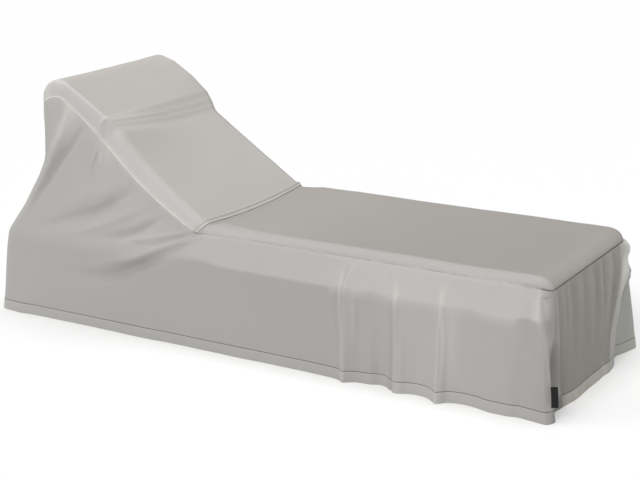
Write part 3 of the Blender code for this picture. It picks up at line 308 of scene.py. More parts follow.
# %% Folds of the foot end and of the head end
FOOT_FOLDS = (
    ("flap at the far corner", "soft", 0.022, 0,
     ((0.340, 0.398, 0.028), (0.344, 0.385, 0.031), (0.342, 0.362, 0.022), (0.342, 0.338, 0.000),
      (0.345, 0.315, -0.012), (0.350, 0.285, -0.006))),
    ("hollow below the flap", "soft", 0.030, 0,
     ((0.350, 0.300, -0.004), (0.355, 0.240, -0.008), (0.365, 0.120, -0.004), (0.375, 0.030, 0.000))),
    ("hollow round the near corner", "soft", 0.030, 0,
     ((-0.350, 0.330, -0.003), (-0.360, 0.250, -0.008), (-0.365, 0.170, -0.018), (-0.365, 0.100, -0.020),
      (-0.370, 0.040, -0.006))),
    ("hollow beside the near corner", "soft", 0.016, 0,
     ((-0.268, 0.330, -0.002), (-0.264, 0.250, -0.006), (-0.262, 0.150, -0.008), (-0.268, 0.040, -0.003))),
    ("first gather", "soft", 0.012, 0,
     ((-0.238, 0.384, 0.002), (-0.242, 0.330, 0.006), (-0.250, 0.215, 0.005), (-0.256, 0.120, 0.001))),
    ("second gather", "soft", 0.012, 0,
     ((-0.196, 0.384, 0.002), (-0.200, 0.325, 0.006), (-0.219, 0.206, 0.005), (-0.228, 0.110, 0.001))),
    ("third gather", "soft", 0.014, 0,
     ((-0.100, 0.384, 0.002), (-0.109, 0.322, 0.005), (-0.129, 0.213, 0.004), (-0.140, 0.120, 0.001))),
    ("fourth gather", "soft", 0.013, 0,
     ((0.000, 0.384, 0.002), (-0.012, 0.329, 0.006), (-0.034, 0.184, 0.005), (-0.045, 0.100, 0.001))),
    ("fifth gather", "soft", 0.013, 0,
     ((0.086, 0.384, 0.002), (0.077, 0.321, 0.006), (0.048, 0.194, 0.005), (0.013, 0.110, 0.001))),
    ("sixth gather", "soft", 0.014, 0,
     ((0.175, 0.384, 0.003), (0.159, 0.350, 0.007), (0.112, 0.244, 0.007), (0.068, 0.153, 0.004),
      (0.050, 0.100, 0.001))),
    ("shade by the strip", "soft", 0.014, 0,
     ((0.236, 0.370, -0.004), (0.205, 0.300, -0.008), (0.155, 0.220, -0.008), (0.115, 0.140, -0.004))),
    ("fold at the far corner", "step", 0.012, -0.075,
     ((0.372, 0.370, 0.006), (0.355, 0.307, 0.018), (0.300, 0.250, 0.024), (0.252, 0.197, 0.024),
      (0.231, 0.077, 0.014), (0.225, 0.000, 0.008))),
)
GATHERS = (-0.224, -0.176, -0.150, -0.060, 0.039, 0.060, 0.110, 0.200)
GATHER_CREASES = tuple(
    (f"small gather {k}", "sharp", 0.006, 0,
     ((y + 0.004, 0.384, -0.002), (y, 0.338, -0.005), (y - 0.012, 0.270, -0.003), (y - 0.025, 0.200, 0.000)))
    for k, y in enumerate(GATHERS)
)
HEAD_FOLDS = (
    ("fall from the near corner", "soft", 0.045, 0,
     ((-0.220, 0.780, -0.002), (-0.228, 0.640, 0.000), (-0.235, 0.540, 0.009), (-0.280, 0.320, 0.002))),
    ("middle fall", "soft", 0.060, 0,
     ((0.020, 0.780, 0.002), (0.010, 0.500, 0.009), (0.000, 0.150, 0.006), (0.000, 0.000, 0.010))),
    ("fall from the far corner", "soft", 0.045, 0,
     ((0.230, 0.780, 0.003), (0.240, 0.550, 0.012), (0.280, 0.320, 0.006))),
    ("belly", "soft", 0.150, 0,
     ((-0.020, 0.620, -0.010), (-0.020, 0.450, -0.028), (-0.020, 0.340, -0.010))),
)
TOP_FOLDS = (
    ("ridge along the head rest", "sharp", 0.007, 0,
     ((-0.860, -0.292, 0.001), (-0.845, -0.300, 0.003), (-0.742, -0.311, 0.004), (-0.664, -0.312, 0.005),
      (-0.630, -0.316, 0.004), (-0.612, -0.322, 0.000))),
    ("hollow inside that ridge", "soft", 0.008, 0,
     ((-0.840, -0.280, 0.000), (-0.742, -0.294, -0.0015), (-0.650, -0.297, -0.002), (-0.625, -0.300, 0.000))),
    ("pull from the step", "sharp", 0.006, 0,
     ((-0.626, -0.312, 0.003), (-0.634, -0.322, 0.005), (-0.645, -0.336, 0.004))),
    ("crinkle at the head", "sharp", 0.004, 0,
     ((-0.868, -0.330, -0.003), (-0.876, -0.322, -0.003), (-0.884, -0.318, 0.000))),
)
print("other sides:", len(FAR_FOLDS) + len(FOOT_FOLDS) + len(GATHER_CREASES) + len(HEAD_FOLDS), "folds")

# %% [markdown]
# ## Shades
#
# A photograph holds some light and shade that plain studio lamps don't give. The part of it that belongs to the
# folds is drawn on the cloth itself, so it stays in place under any light. Shades are drawn as folds are, as rows
# of a table, but the last number of each point is how much lighter or darker the cloth is there.
# STROKES are the few short places along the seat's seam where the pale thread shows.

# %% Shades of the near side and of the foot
NEAR_SHADES = (
    ("light by the head corner", "soft", 0.034, 0,
     ((-0.768, 0.795, 0.16), (-0.780, 0.745, 0.20), (-0.804, 0.700, 0.20), (-0.835, 0.650, 0.08))),
    ("light below the step", "soft", 0.024, 0,
     ((-0.612, 0.660, 0.08), (-0.622, 0.625, 0.12), (-0.635, 0.585, 0.04))),
    ("light over the short swag", "soft", 0.020, 0,
     ((-0.385, 0.462, 0.02), (-0.431, 0.436, 0.05), (-0.485, 0.408, 0.02))),
    ("light over the tuck", "soft", 0.014, 0,
     ((-0.390, 0.366, 0.02), (-0.458, 0.347, 0.05), (-0.540, 0.336, 0.02))),
    ("crest of the first pleat", "soft", 0.006, 0,
     ((0.352, 0.345, 0.05), (0.355, 0.299, 0.12), (0.356, 0.240, 0.06), (0.360, 0.170, 0.02))),
    ("crest of the middle pleat", "soft", 0.006, 0,
     ((0.558, 0.340, 0.05), (0.563, 0.302, 0.16), (0.564, 0.235, 0.08), (0.572, 0.120, 0.03))),
    ("crest of the last pleat", "soft", 0.005, 0,
     ((0.712, 0.350, 0.06), (0.724, 0.300, 0.16), (0.736, 0.233, 0.24), (0.744, 0.150, 0.18),
      (0.746, 0.074, 0.12), (0.746, 0.020, 0.08))),
    ("light right of the last pleat", "soft", 0.018, 0,
     ((0.758, 0.290, 0.06), (0.764, 0.220, 0.10), (0.770, 0.120, 0.06), (0.776, 0.040, 0.02))),
    ("corner ridge", "sharp", 0.005, 0,
     ((1.035, 0.390, 0.10), (1.051, 0.340, 0.16), (1.073, 0.278, 0.14), (1.091, 0.192, 0.06))),
    ("light pocket", "soft", 0.011, 0, ((1.066, 0.376, 0.06), (1.068, 0.356, 0.14), (1.073, 0.335, 0.06))),
    ("line over the pocket", "sharp", 0.0025, 0,
     ((1.050, 0.374, -0.30), (1.058, 0.373, -0.40), (1.068, 0.379, -0.30))),
    ("valley beside the ridge", "soft", 0.008, 0,
     ((1.082, 0.325, -0.08), (1.086, 0.285, -0.16), (1.094, 0.240, -0.06))),
)
CORNER_SHADES = (
    ("shade above the tab", "soft", 0.044, 0,
     ((-0.345, 0.240, -0.04), (-0.345, 0.205, -0.40), (-0.345, 0.150, -0.52), (-0.345, 0.090, -0.46),
      (-0.350, 0.045, -0.24))),
    ("lit edge of the corner", "soft", 0.014, 0,
     ((-0.398, 0.320, 0.04), (-0.400, 0.260, 0.14), (-0.402, 0.190, 0.22), (-0.402, 0.110, 0.18),
      (-0.402, 0.030, 0.04))),
    ("shade along the corner strip", "soft", 0.034, 0,
     ((-0.325, 0.370, -0.08), (-0.325, 0.300, -0.12), (-0.330, 0.240, -0.06))),
    ("line by the valley", "sharp", 0.005, 0,
     ((-0.398, 0.300, -0.06), (-0.404, 0.250, -0.16), (-0.408, 0.190, -0.12), (-0.410, 0.120, -0.02))),
)
FOOT_SHADES = (
    ("shade at the near seam", "soft", 0.026, 0,
     ((-0.318, 0.360, -0.10), (-0.315, 0.300, -0.15), (-0.305, 0.220, -0.12), (-0.290, 0.156, -0.20),
      (-0.286, 0.092, -0.20), (-0.284, 0.024, -0.24))),
    ("light strip", "soft", 0.026, 0,
     ((0.345, 0.395, 0.52), (0.330, 0.350, 0.58), (0.290, 0.300, 0.60), (0.250, 0.240, 0.50), (0.212, 0.170, 0.28),
      (0.195, 0.100, 0.06))),
    ("line along the fold", "soft", 0.011, 0,
     ((0.345, 0.312, -0.14), (0.313, 0.274, -0.40), (0.280, 0.222, -0.50), (0.250, 0.173, -0.50),
      (0.236, 0.120, -0.34), (0.225, 0.070, -0.14))),
    ("shade beyond the fold", "soft", 0.040, 0,
     ((0.352, 0.250, -0.04), (0.330, 0.170, -0.08), (0.310, 0.076, -0.08))),
    ("flap in the hem", "sharp", 0.012, 0, ((0.036, 0.050, 0.12), (0.046, 0.036, 0.30), (0.058, 0.010, 0.24))),
    ("second flap in the hem", "soft", 0.007, 0, ((-0.075, 0.040, 0.10), (-0.082, 0.010, 0.16))),
    ("third flap in the hem", "soft", 0.006, 0, ((-0.168, 0.040, 0.08), (-0.176, 0.010, 0.14))),
)
STROKES = (0.325, 0.451, 0.536, 0.571, 0.606, 0.723, 0.840, 0.883, 0.914, 0.955)
print("shades:", len(NEAR_SHADES) + len(CORNER_SHADES) + len(FOOT_SHADES), "and strokes:", len(STROKES))

# %% [markdown]
# ## Smooth lines through tables
#
# The tables above give few points, as a pattern does. Straight lines between them would show as kinks in a fine
# mesh, so curve_through() joins them with a smooth line that never swings past a value in the table. The same
# function with seeded random values gives the small unevenness that real cloth has.

# %% Smooth interpolation and seeded unevenness
def curve_through(at, table):
    """A smooth line through the (place, value) rows of a table, level beyond its ends."""
    xs, ys = (np.array(column, float) for column in zip(*table))
    step = np.diff(xs)
    slope = np.diff(ys) / step
    lean = np.zeros(len(xs))
    same_way = slope[:-1] * slope[1:] > 0
    pair = np.where(same_way, slope[:-1] + slope[1:], 1)
    lean[1:-1] = np.where(same_way, 2 * slope[:-1] * slope[1:] / pair, 0)
    lean[0], lean[-1] = slope[0], slope[-1]
    k = np.clip(np.searchsorted(xs, at, "right") - 1, 0, len(xs) - 2)
    t = np.clip((at - xs[k]) / step[k], 0, 1)
    rise = (3 - 2 * t) * t * t
    return (
        ys[k] * (1 - rise)
        + ys[k + 1] * rise
        + step[k] * (lean[k] * t * (1 - t) ** 2 - lean[k + 1] * t * t * (1 - t))
    )


def smooth_step(value):
    """From 0 to 1 with a soft start and a soft end."""
    value = np.clip(value, 0, 1)
    return value * value * (3 - 2 * value)


def uneven_line(at, pitch, seed):
    """Seeded soft bumps from -1 to 1 along a line, a pitch apart."""
    heights = np.random.default_rng(seed).uniform(-1, 1, 2048)
    cell = np.floor(at / pitch).astype(int)
    t = smooth_step(at / pitch - cell)
    return heights[cell % 2048] * (1 - t) + heights[(cell + 1) % 2048] * t


def uneven_face(u, v, pitch_u, pitch_v, seed):
    """Seeded soft bumps from -1 to 1 over a face, so far apart each way."""
    heights = np.random.default_rng(seed).uniform(-1, 1, (256, 256))
    i, j = np.floor(u / pitch_u).astype(int), np.floor(v / pitch_v).astype(int)
    s, t = smooth_step(u / pitch_u - i), smooth_step(v / pitch_v - j)
    upper = heights[i % 256, j % 256] * (1 - s) + heights[(i + 1) % 256, j % 256] * s
    lower = heights[i % 256, (j + 1) % 256] * (1 - s) + heights[(i + 1) % 256, (j + 1) % 256] * s
    return upper * (1 - t) + lower * t


def two_waves(at, pitch, finer, share, seed):
    """Soft bumps along a line, and a share of finer ones on them."""
    return uneven_line(at, pitch, seed) + share * uneven_line(at, finer, seed + 1)


def unit(vectors):
    return vectors / np.maximum(np.linalg.norm(vectors, axis=-1, keepdims=True), 1e-12)


def running_sum(steps, axis=0):
    """The sum of the steps so far, which starts at 0."""
    first = np.zeros_like(np.take(steps, [0], axis))
    return np.concatenate([first, np.cumsum(steps, axis=axis)], axis=axis)


def run_over(points, axis=0):
    """The length of cloth from the first point, line or row of a grid to each of the others."""
    return running_sum(np.linalg.norm(np.diff(points, axis=axis), axis=-1), axis)


def bell(distance, width):
    """A round bump: 1 at no distance, and almost nothing from two widths away."""
    return np.exp(-((distance / width) ** 2))


print("seat rise at the middle:", float(curve_through(np.array([0.0]), SEAT_RISE)[0]))

# %% [markdown]
# ## The top: seat and back in one grid
#
# The seat cloth and the back cloth are drawn as one grid of points, so that they share the crease between them.
# Its lines run across the cover and its rows run along it. The outer rows and lines turn down over the edges, and
# at each corner they follow one another round, so that the corner is a smooth pad and not a cut.

# %% Places of the lines along the top
EDGE_STEPS = 11
GAP_ON_BACK = 0.0062
GAP_ON_STEP = 0.0036
STEP_RUN = (0.20, 0.31)
GAP_ON_SEAT = 0.0074
GAP_BY_FOOT = 0.0055
BY_FOOT_X = 0.96
GAP_AT_PLEAT = 0.0034
PLEAT_REACH = 0.026
PLEAT_PLACES = (0.180, 0.358, 0.395, 0.553, 0.640, 0.722)
GAP_ACROSS = 0.0085
GAP_AT_STRIP = 0.0022
STRIP_Y = 0.268


def rounded(corners, steps):
    """Points along a line of (x, z, softness) corners, each soft one turned through a short curve."""
    points = [corners[0][:2]]
    for before, corner, after in zip(corners, corners[1:], corners[2:]):
        here = np.array(corner[:2])
        if corner[2] == 0:
            points.append(tuple(here))
            continue
        back = np.array(before[:2]) - here
        ahead = np.array(after[:2]) - here
        start = here + back / np.linalg.norm(back) * corner[2]
        end = here + ahead / np.linalg.norm(ahead) * corner[2]
        for t in np.linspace(0, 1, steps):
            points.append(tuple((1 - t) ** 2 * start + 2 * t * (1 - t) * here + t * t * end))
    points.append(corners[-1][:2])
    return np.array(points)


def seat_gap(x):
    """How far apart the lines are at x: closer at the pleats and towards the foot."""
    if min(abs(x - pleat) for pleat in PLEAT_PLACES) < PLEAT_REACH:
        return GAP_AT_PLEAT
    return GAP_BY_FOOT if x > BY_FOOT_X else GAP_ON_SEAT


def back_gap(run):
    """The same along the back, by the length of cloth from the head edge: closer over the step."""
    return GAP_ON_STEP if STEP_RUN[0] < run < STEP_RUN[1] else GAP_ON_BACK


def spaced(start, end, gap_at):
    """Places from start to end, with the gap that gap_at gives at each."""
    places = [start]
    while places[-1] < end:
        places.append(places[-1] + gap_at(places[-1]))
    return start + (np.array(places) - start) * (end - start) / (places[-1] - start)


def top_stations():
    """Where the lines cross the middle of the top, as x and z, and which of them is the crease."""
    line = rounded([row[1:] for row in TOP_LINE], 16)
    run = run_over(line)
    crease_run = float(np.interp(CREASE_X, line[:, 0], run))
    back = spaced(0, crease_run, back_gap)
    seat_x = spaced(CREASE_X, line[-1, 0], seat_gap)
    seat = np.interp(seat_x, line[:, 0], run)
    runs = np.concatenate([back, seat[1:]])
    return np.interp(runs, run, line[:, 0]), np.interp(runs, run, line[:, 1]), len(back) - 1


station_x, station_z, crease_line = top_stations()
FINE_CREASE = EDGE_STEPS + crease_line
print("lines across the top:", len(station_x), "with the crease at", crease_line)

# %% How the cloth turns over each edge
def side_turn(fall):
    """How far out and down the cloth is at each step over a long edge that falls this far, for every line."""
    radius = EDGE_REACH / math.sin(EDGE_TURN)
    arc = radius * EDGE_TURN
    rest = np.maximum(fall - radius * (1 - math.cos(EDGE_TURN)), 0.001)
    quickness = 1 + 1.9 * rest / (arc + rest)
    fine = 8
    t = np.linspace(0, 1, EDGE_STEPS * fine + 1)
    angle = math.pi / 2 * (1 - (1 - t[None, :]) ** quickness[:, None])
    middle = (angle[:, 1:] + angle[:, :-1]) / 2
    out, down = running_sum(np.cos(middle), 1), running_sum(np.sin(middle), 1)
    reach = EDGE_REACH + EDGE_LEAN / math.tan(EDGE_TURN)
    out = out / out[:, -1:] * reach
    down = down / down[:, -1:] * fall[:, None]
    return out[:, ::fine], down[:, ::fine]


def foot_turn(share):
    """How far out and down the cloth is over the foot edge."""
    angle = share * math.pi / 2
    return FOOT_REACH * np.sin(angle), -FOOT_FALL * (1 - np.cos(angle))


def head_turn(share):
    """The same over the head edge, which turns from the leaning head rest to straight down."""
    turn = math.pi / 2 + BACK_LEAN
    run = share * (HEAD_EDGE_RADIUS * turn + HEAD_EDGE_DROP)
    angle = np.minimum(run / HEAD_EDGE_RADIUS, turn)
    along = HEAD_EDGE_RADIUS * np.sin(angle)
    down = HEAD_EDGE_RADIUS * (1 - np.cos(angle))
    drop = np.maximum(run - HEAD_EDGE_RADIUS * turn, 0)
    x = -along * math.cos(BACK_LEAN) - down * math.sin(BACK_LEAN)
    z = along * math.sin(BACK_LEAN) - down * math.cos(BACK_LEAN) - drop
    return x, z


# %% The grid of the top
def corner_name(x, y):
    return ("near" if y < 0 else "far") + (" foot" if x > 0 else " head")


def top_grid():
    """The outer face of seat and back as a grid of points, with how far each has turned over its edge."""
    steps = np.arange(EDGE_STEPS, 0, -1)
    line_x = np.concatenate([np.full(EDGE_STEPS, station_x[0]), station_x, np.full(EDGE_STEPS, station_x[-1])])
    line_z = np.concatenate([np.full(EDGE_STEPS, station_z[0]), station_z, np.full(EDGE_STEPS, station_z[-1])])
    end = np.concatenate([-steps, np.zeros(len(station_x), int), steps[::-1]])
    across = spaced(-FLAT_HALF, FLAT_HALF, lambda y: GAP_AT_STRIP if y > STRIP_Y else GAP_ACROSS)
    for seam_y in FOOT_SEAMS + HEAD_SEAMS:
        across[int(np.argmin(abs(across - seam_y)))] = seam_y
    row_y = np.concatenate([np.full(EDGE_STEPS, -FLAT_HALF), across, np.full(EDGE_STEPS, FLAT_HALF)])
    side = np.concatenate([-steps, np.zeros(len(across), int), steps[::-1]])
    seam_x = curve_through(line_x, [(row[1], row[2]) for row in SIDE_SEAM])
    seam_z = curve_through(line_x, [(row[1], row[3]) for row in SIDE_SEAM])
    fall = np.hypot(seam_x - line_x, seam_z - line_z)
    drop_x, drop_z = (seam_x - line_x) / fall, (seam_z - line_z) / fall
    side_out, side_down = side_turn(fall)
    x, y = np.meshgrid(line_x, row_y, indexing="ij")
    z = np.broadcast_to(line_z[:, None], x.shape)
    end, side = np.meshgrid(end, side, indexing="ij")
    step = np.maximum(abs(end), abs(side))
    share = step / EDGE_STEPS
    turn = np.where(step > 0, np.arctan2(abs(side), abs(end)), 0)
    line = np.broadcast_to(np.arange(x.shape[0])[:, None], x.shape)
    foot_x, foot_z = foot_turn(share)
    head_x, head_z = head_turn(share)
    end_x = np.where(end > 0, foot_x, head_x) * (end != 0)
    end_z = np.where(end > 0, foot_z, head_z) * (end != 0)
    fullness = np.ones(x.shape)
    for name, value in CORNER_FULLNESS.items():
        fullness[((x > 0) == ("foot" in name)) & ((y > 0) == ("far" in name))] = value
    on_seat = np.clip((x - CREASE_X) / 0.10, 0, 1)
    rise = curve_through(y, SEAT_RISE) * on_seat * (1 - share)
    rise = rise + curve_through(y, BRIDGE_SHARE) * curve_through(x, BRIDGE_LIFT) * (1 - share)
    on_head = np.clip((HEAD_RISE_FOOT_X - x) / 0.06, 0, 1) * np.clip((x - HEAD_RISE_END_X) / 0.05, 0, 1)
    rise = rise + curve_through(y, HEAD_RISE) * on_head * (1 - share)
    bowed = bell(x - CREASE_X, CREASE_BOW_REACH) * np.clip(1 - (y / CREASE_BOW_HALF) ** 2, 0, 1) * (1 - share)
    rise = rise - CREASE_DIP * bowed
    sunk = side_down[line, step] * np.sin(turn) ** 2
    out = np.sign(side) * side_out[line, step] * np.sin(turn) ** fullness
    grid = np.stack(
        [
            x + end_x * np.cos(turn) ** fullness + CREASE_BOW * bowed + drop_x[:, None] * sunk,
            y + out,
            z + end_z * np.cos(turn) ** 2 + drop_z[:, None] * sunk + rise,
        ],
        axis=-1,
    )
    return grid, turn, share


top, top_turn, top_share = top_grid()
top_across, top_along = run_over(top, 1), run_over(top, 0)
top_away = np.minimum(
    np.minimum(top_across, top_across[:, -1:] - top_across),
    np.minimum(top_along, top_along[-1:] - top_along),
)
top_seam_turn = np.where(top_share > 0, top_turn, math.pi / 2)
top_line_x = np.broadcast_to(top[:, :1, 0], top.shape[:2])
top_row_y = np.broadcast_to(top[-1, :, 1], top.shape[:2])
print("top grid:", top.shape)

# %% [markdown]
# ## The seam round the top, and the skirt below it
#
# The points round the rim of that grid are the seam that the skirt is sewn to. Each of them starts one column of
# the skirt, which falls to its own place on the hem. Under the raised back the columns fan out, as the cloth does
# there. The rows are set by height, and rows that would crowd together are merged.

# %% The ring of seam points
def ring_of(grid):
    """The (line, row) places round the grid's rim: near side, foot, far side, head."""
    lines, rows = grid.shape[:2]
    near = [(i, 0) for i in range(lines)]
    foot = [(lines - 1, j) for j in range(1, rows)]
    far = [(i, rows - 1) for i in range(lines - 2, -1, -1)]
    head = [(0, j) for j in range(rows - 2, 0, -1)]
    return np.array(near + foot + far + head)


ring = ring_of(top)
seam = top[ring[:, 0], ring[:, 1]]
turns = top_turn[ring[:, 0], ring[:, 1]]


def round_length(points):
    """The length of a closed line."""
    return round(float(np.linalg.norm(np.roll(points, -1, 0) - points, axis=1).sum()), 3)


print("columns of the skirt:", len(ring), "on a seam of", round_length(seam), "m")

# %% Where each column meets the floor
def hem_line():
    hem = seam.copy()
    hem[:, 2] = 0
    side_x = seam[:, 0]
    fanned = np.where(side_x < FAN_FROM_X, FAN_FROM_X + (side_x - FAN_FROM_X) * FAN, side_x)
    foot_y = curve_through(seam[:, 1], FOOT_SPREAD)
    head_y = curve_through(seam[:, 1], HEAD_SPREAD)
    foot_x = curve_through(foot_y, FOOT_HEM)
    drift = curve_through(side_x, NEAR_DRIFT) * (seam[:, 1] < 0)
    for k, ((x, y, _), turn) in enumerate(zip(seam, turns)):
        corner_x, corner_y, radius, square = HEM_CORNERS[corner_name(x, y)]
        forward = math.copysign(1, x)
        outward = math.copysign(1, y)
        if turn >= math.pi / 2 - 1e-6:
            limit = corner_x - forward * radius
            hem[k, 0] = min(fanned[k] + drift[k], limit) if x > 0 else max(fanned[k], limit)
            hem[k, 1] = outward * (FLAT_HALF + EDGE_REACH + (NEAR_OUT if y < 0 else FAR_OUT))
        elif turn <= 1e-6:
            hem[k, 1] = foot_y[k] if x > 0 else head_y[k]
            hem[k, 0] = foot_x[k] if x > 0 else corner_x
        else:
            hem[k, 0] = corner_x - forward * radius * (1 - math.cos(turn) ** square)
            hem[k, 1] = corner_y - outward * radius * (1 - math.sin(turn) ** square)
    return hem


hem = hem_line()
print("hem:", round_length(hem), "m round the floor")

# %% The heights of the rows
ROWS_ABOVE = 64
ROWS_IN_BAND = 13
ROWS_BELOW = 42
ROW_GAP = 0.0052
HEM_ROWS = (0.0430, 0.0415, 0.0400, 0.0385, 0.0370, 0.0300, 0.0200, 0.0100, 0.0030, 0.0000)
HEM_TOP = 0.0445

band_z = curve_through(seam[:, 0], BAND_LINE)


def skirt_heights():
    rows = [LEDGE_Z + (seam[:, 2] - LEDGE_Z) * (1 - k / ROWS_ABOVE) for k in range(ROWS_ABOVE)]
    rows += [LEDGE_Z + (band_z - LEDGE_Z) * k / ROWS_IN_BAND for k in range(ROWS_IN_BAND)]
    rows += [band_z + (HEM_TOP - band_z) * k / ROWS_BELOW for k in range(ROWS_BELOW + 1)]
    rows += [np.full(len(seam), z) for z in HEM_ROWS]
    return np.array(rows)


def merged_rows(height):
    """Which points are left out, each joined to the one above it: above the ledge, rows closer than the gap."""
    merged = np.zeros(height.shape, bool)
    crowd = ROW_GAP / ((seam[:, 2] - LEDGE_Z) / ROWS_ABOVE)
    every = np.clip(2 ** np.round(np.log2(np.maximum(crowd, 1))), 1, ROWS_ABOVE / 2).astype(int)
    for i in range(1, ROWS_ABOVE):
        merged[i] = i % every != 0
    return merged


height = skirt_heights()
merged = merged_rows(height)
print("rows of the skirt:", len(height), "and", int(merged.sum()), "points merged")

# %% [markdown]
# ## How folds push the cloth out
#
# For every point of the skirt we find the nearest place on a fold's ridge line, measure how far off it is, and add
# the fold's height times a bell curve, a crest or a step of that distance. Plain addition lets folds run into
# each other the way they do on the real cover.

# %% Fold heights
def fine_path(points, steps=5):
    """A fold's points joined by a smooth line."""
    points = np.array(points)
    if len(points) == 2:
        return points
    run = running_sum(np.hypot(*np.diff(points[:, :2], axis=0).T))
    at = np.concatenate([np.linspace(a, b, steps, endpoint=False) for a, b in zip(run, run[1:])] + [run[-1:]])
    return np.stack([curve_through(at, list(zip(run, points[:, k]))) for k in range(3)], axis=1)


def fold_height(folds, place_along, at_height):
    """How far the folds in a table push each point out, at its place along the side and its height."""
    out = np.zeros(place_along.shape)
    for _, kind, width, tail, points in folds:
        path = fine_path(points)
        nearest = np.full(place_along.shape, np.inf)
        signed = np.zeros(place_along.shape)
        stand = np.zeros(place_along.shape)
        for (a0, z0, h0), (a1, z1, h1) in zip(path, path[1:]):
            length = math.hypot(a1 - a0, z1 - z0)
            along = ((place_along - a0) * (a1 - a0) + (at_height - z0) * (z1 - z0)) / length
            across = ((place_along - a0) * (z0 - z1) + (at_height - z0) * (a1 - a0)) / length
            inside = np.clip(along, 0, length)
            past = np.abs(along - inside)
            gap = np.hypot(across, past)
            closer = gap < nearest
            nearest = np.where(closer, gap, nearest)
            signed = np.where(closer, across, signed)
            fade = bell(past, 2 * width)
            stand = np.where(closer, (h0 + (h1 - h0) * inside / length) * fade, stand)
        if kind == "soft":
            out += stand * bell(signed, width)
        elif kind == "sharp":
            blunt = width / 4
            out += stand * np.exp(-(np.hypot(signed, blunt) - blunt) / width)
        else:
            # A step's points run downwards, so its tail lies on the positive side of the line.
            forward = signed if tail > 0 else -signed
            rise = 1 / (1 + np.exp(np.clip(-4 * forward / width, -30, 30)))
            out += stand * rise * np.exp(-np.maximum(forward, 0) / abs(tail))
    return out


# %% The grid of the skirt
def side_profile(z, top_z, out):
    """The share of the side's outward lean reached at this height, with its bend at the band line."""
    above = np.clip((z - band_z) / np.maximum(top_z - band_z, 0.01), 0, 1)
    deep = np.clip((top_z - SAG_FROM_Z) / (SAG_FULL_Z - SAG_FROM_Z), 0, 1)
    band = BAND_OUT * (1 - above) - BACK_SAG * deep * np.sin(math.pi * above**0.6)
    low = BAND_OUT + (out - BAND_OUT) * (1 - z / band_z)
    return np.where(z > band_z, band, low) / out


def side_share(top_z, out):
    """The same, with the bend softened under the back."""
    reach = curve_through(seam[:, 0], BAND_SOFTNESS)
    reach = np.minimum(np.minimum(reach, top_z - height), height)
    weights = (1, 2, 3, 2, 1)
    parts = [w * side_profile(height + reach * (k - 2) / 2, top_z, out) for k, w in enumerate(weights)]
    return sum(parts) / sum(weights)


def skirt_grid():
    top_z = np.broadcast_to(seam[:, 2], height.shape)
    near = seam[:, 1] < 0
    foot = seam[:, 0] > 0
    out = np.where(near, NEAR_OUT, FAR_OUT)
    on_side = np.sin(turns) ** 2
    y_share = side_share(top_z, out)
    y_share = np.where(foot, y_share * on_side + curve_through(height, FOOT_FALL_SHARE) * (1 - on_side), y_share)
    toward = smooth_step((HEAD_PULL_FROM_X - seam[:, 0]) / (HEAD_PULL_FROM_X - HEAD_PULL_FULL_X))
    straight = 1 - height / top_z
    head_wall = curve_through(height, HEAD_WALL)
    head_wall = np.where(head_wall < 0, head_wall * (1 - on_side), head_wall)
    x_share = np.where(foot, curve_through(height, FOOT_WALL), head_wall * toward + straight * (1 - toward))
    x = seam[:, 0] + (hem[:, 0] - seam[:, 0]) * x_share
    y = seam[:, 1] + (hem[:, 1] - seam[:, 1]) * y_share
    side_fold = np.zeros(height.shape)
    end_fold = np.zeros(height.shape)
    for there, chosen, across, folds in (
        (side_fold, near & (turns > 0), x, NEAR_FOLDS + NEAR_CREASES),
        (side_fold, ~near & (turns > 0), x, FAR_FOLDS),
        (end_fold, foot & (turns < math.pi / 2 - 1e-6), y, FOOT_FOLDS + GATHER_CREASES),
        (end_fold, ~foot & (turns < math.pi / 2 - 1e-6), y, HEAD_FOLDS),
    ):
        there[:, chosen] = fold_height(folds, across[:, chosen], height[:, chosen])
    hem_wave = curve_through(hem[:, 0], NEAR_HEM) * np.clip(1 - height / NEAR_HEM_TOP, 0, 1)
    side_fold += np.where(near & foot, hem_wave, 0)
    settle = np.clip((top_z - height) / SEAM_SETTLE, 0, 1)
    y = y + np.where(near, -1, 1) * side_fold * np.sin(turns) ** 2 * settle
    x = x + np.where(foot, 1, -1) * end_fold * np.cos(turns) ** 2 * settle
    return np.stack([x, y, height], axis=-1)


skirt = skirt_grid()
print("skirt grid:", skirt.shape)

# %% [markdown]
# ## Puckers, hem and the cloth's own unevenness
#
# Thread pulls cloth in. Along every seam the two edges sink a little, and small ridges run away from it and die
# out after a few centimetres. At the hem the cloth is folded twice, so it is thicker there and the stitch line
# sinks. Over all of this the cloth is never quite flat. These are moves along the outward normal of each point.

# %% Outward normals of both grids
def face_normals(grid, closed):
    """The outward unit normal at each point of a grid, from its neighbours."""
    if closed:
        across = np.roll(grid, -1, axis=1) - np.roll(grid, 1, axis=1)
    else:
        across = np.gradient(grid, axis=1)
    return unit(np.cross(np.gradient(grid, axis=0), across))


top_normals = face_normals(top, False)
for i, i_in in ((0, 1), (-1, -2)):
    for j, j_in in ((0, 1), (-1, -2)):
        top_normals[i, j] = unit(top_normals[i, j_in] + top_normals[i_in, j] + top_normals[i_in, j_in])
skirt_normals = face_normals(skirt, True)
shared = unit(top_normals[ring[:, 0], ring[:, 1]] + skirt_normals[0])
top_normals[ring[:, 0], ring[:, 1]] = shared
skirt_normals[0] = shared
print("normals ready for", (top_normals.size + skirt_normals.size) // 3, "points")

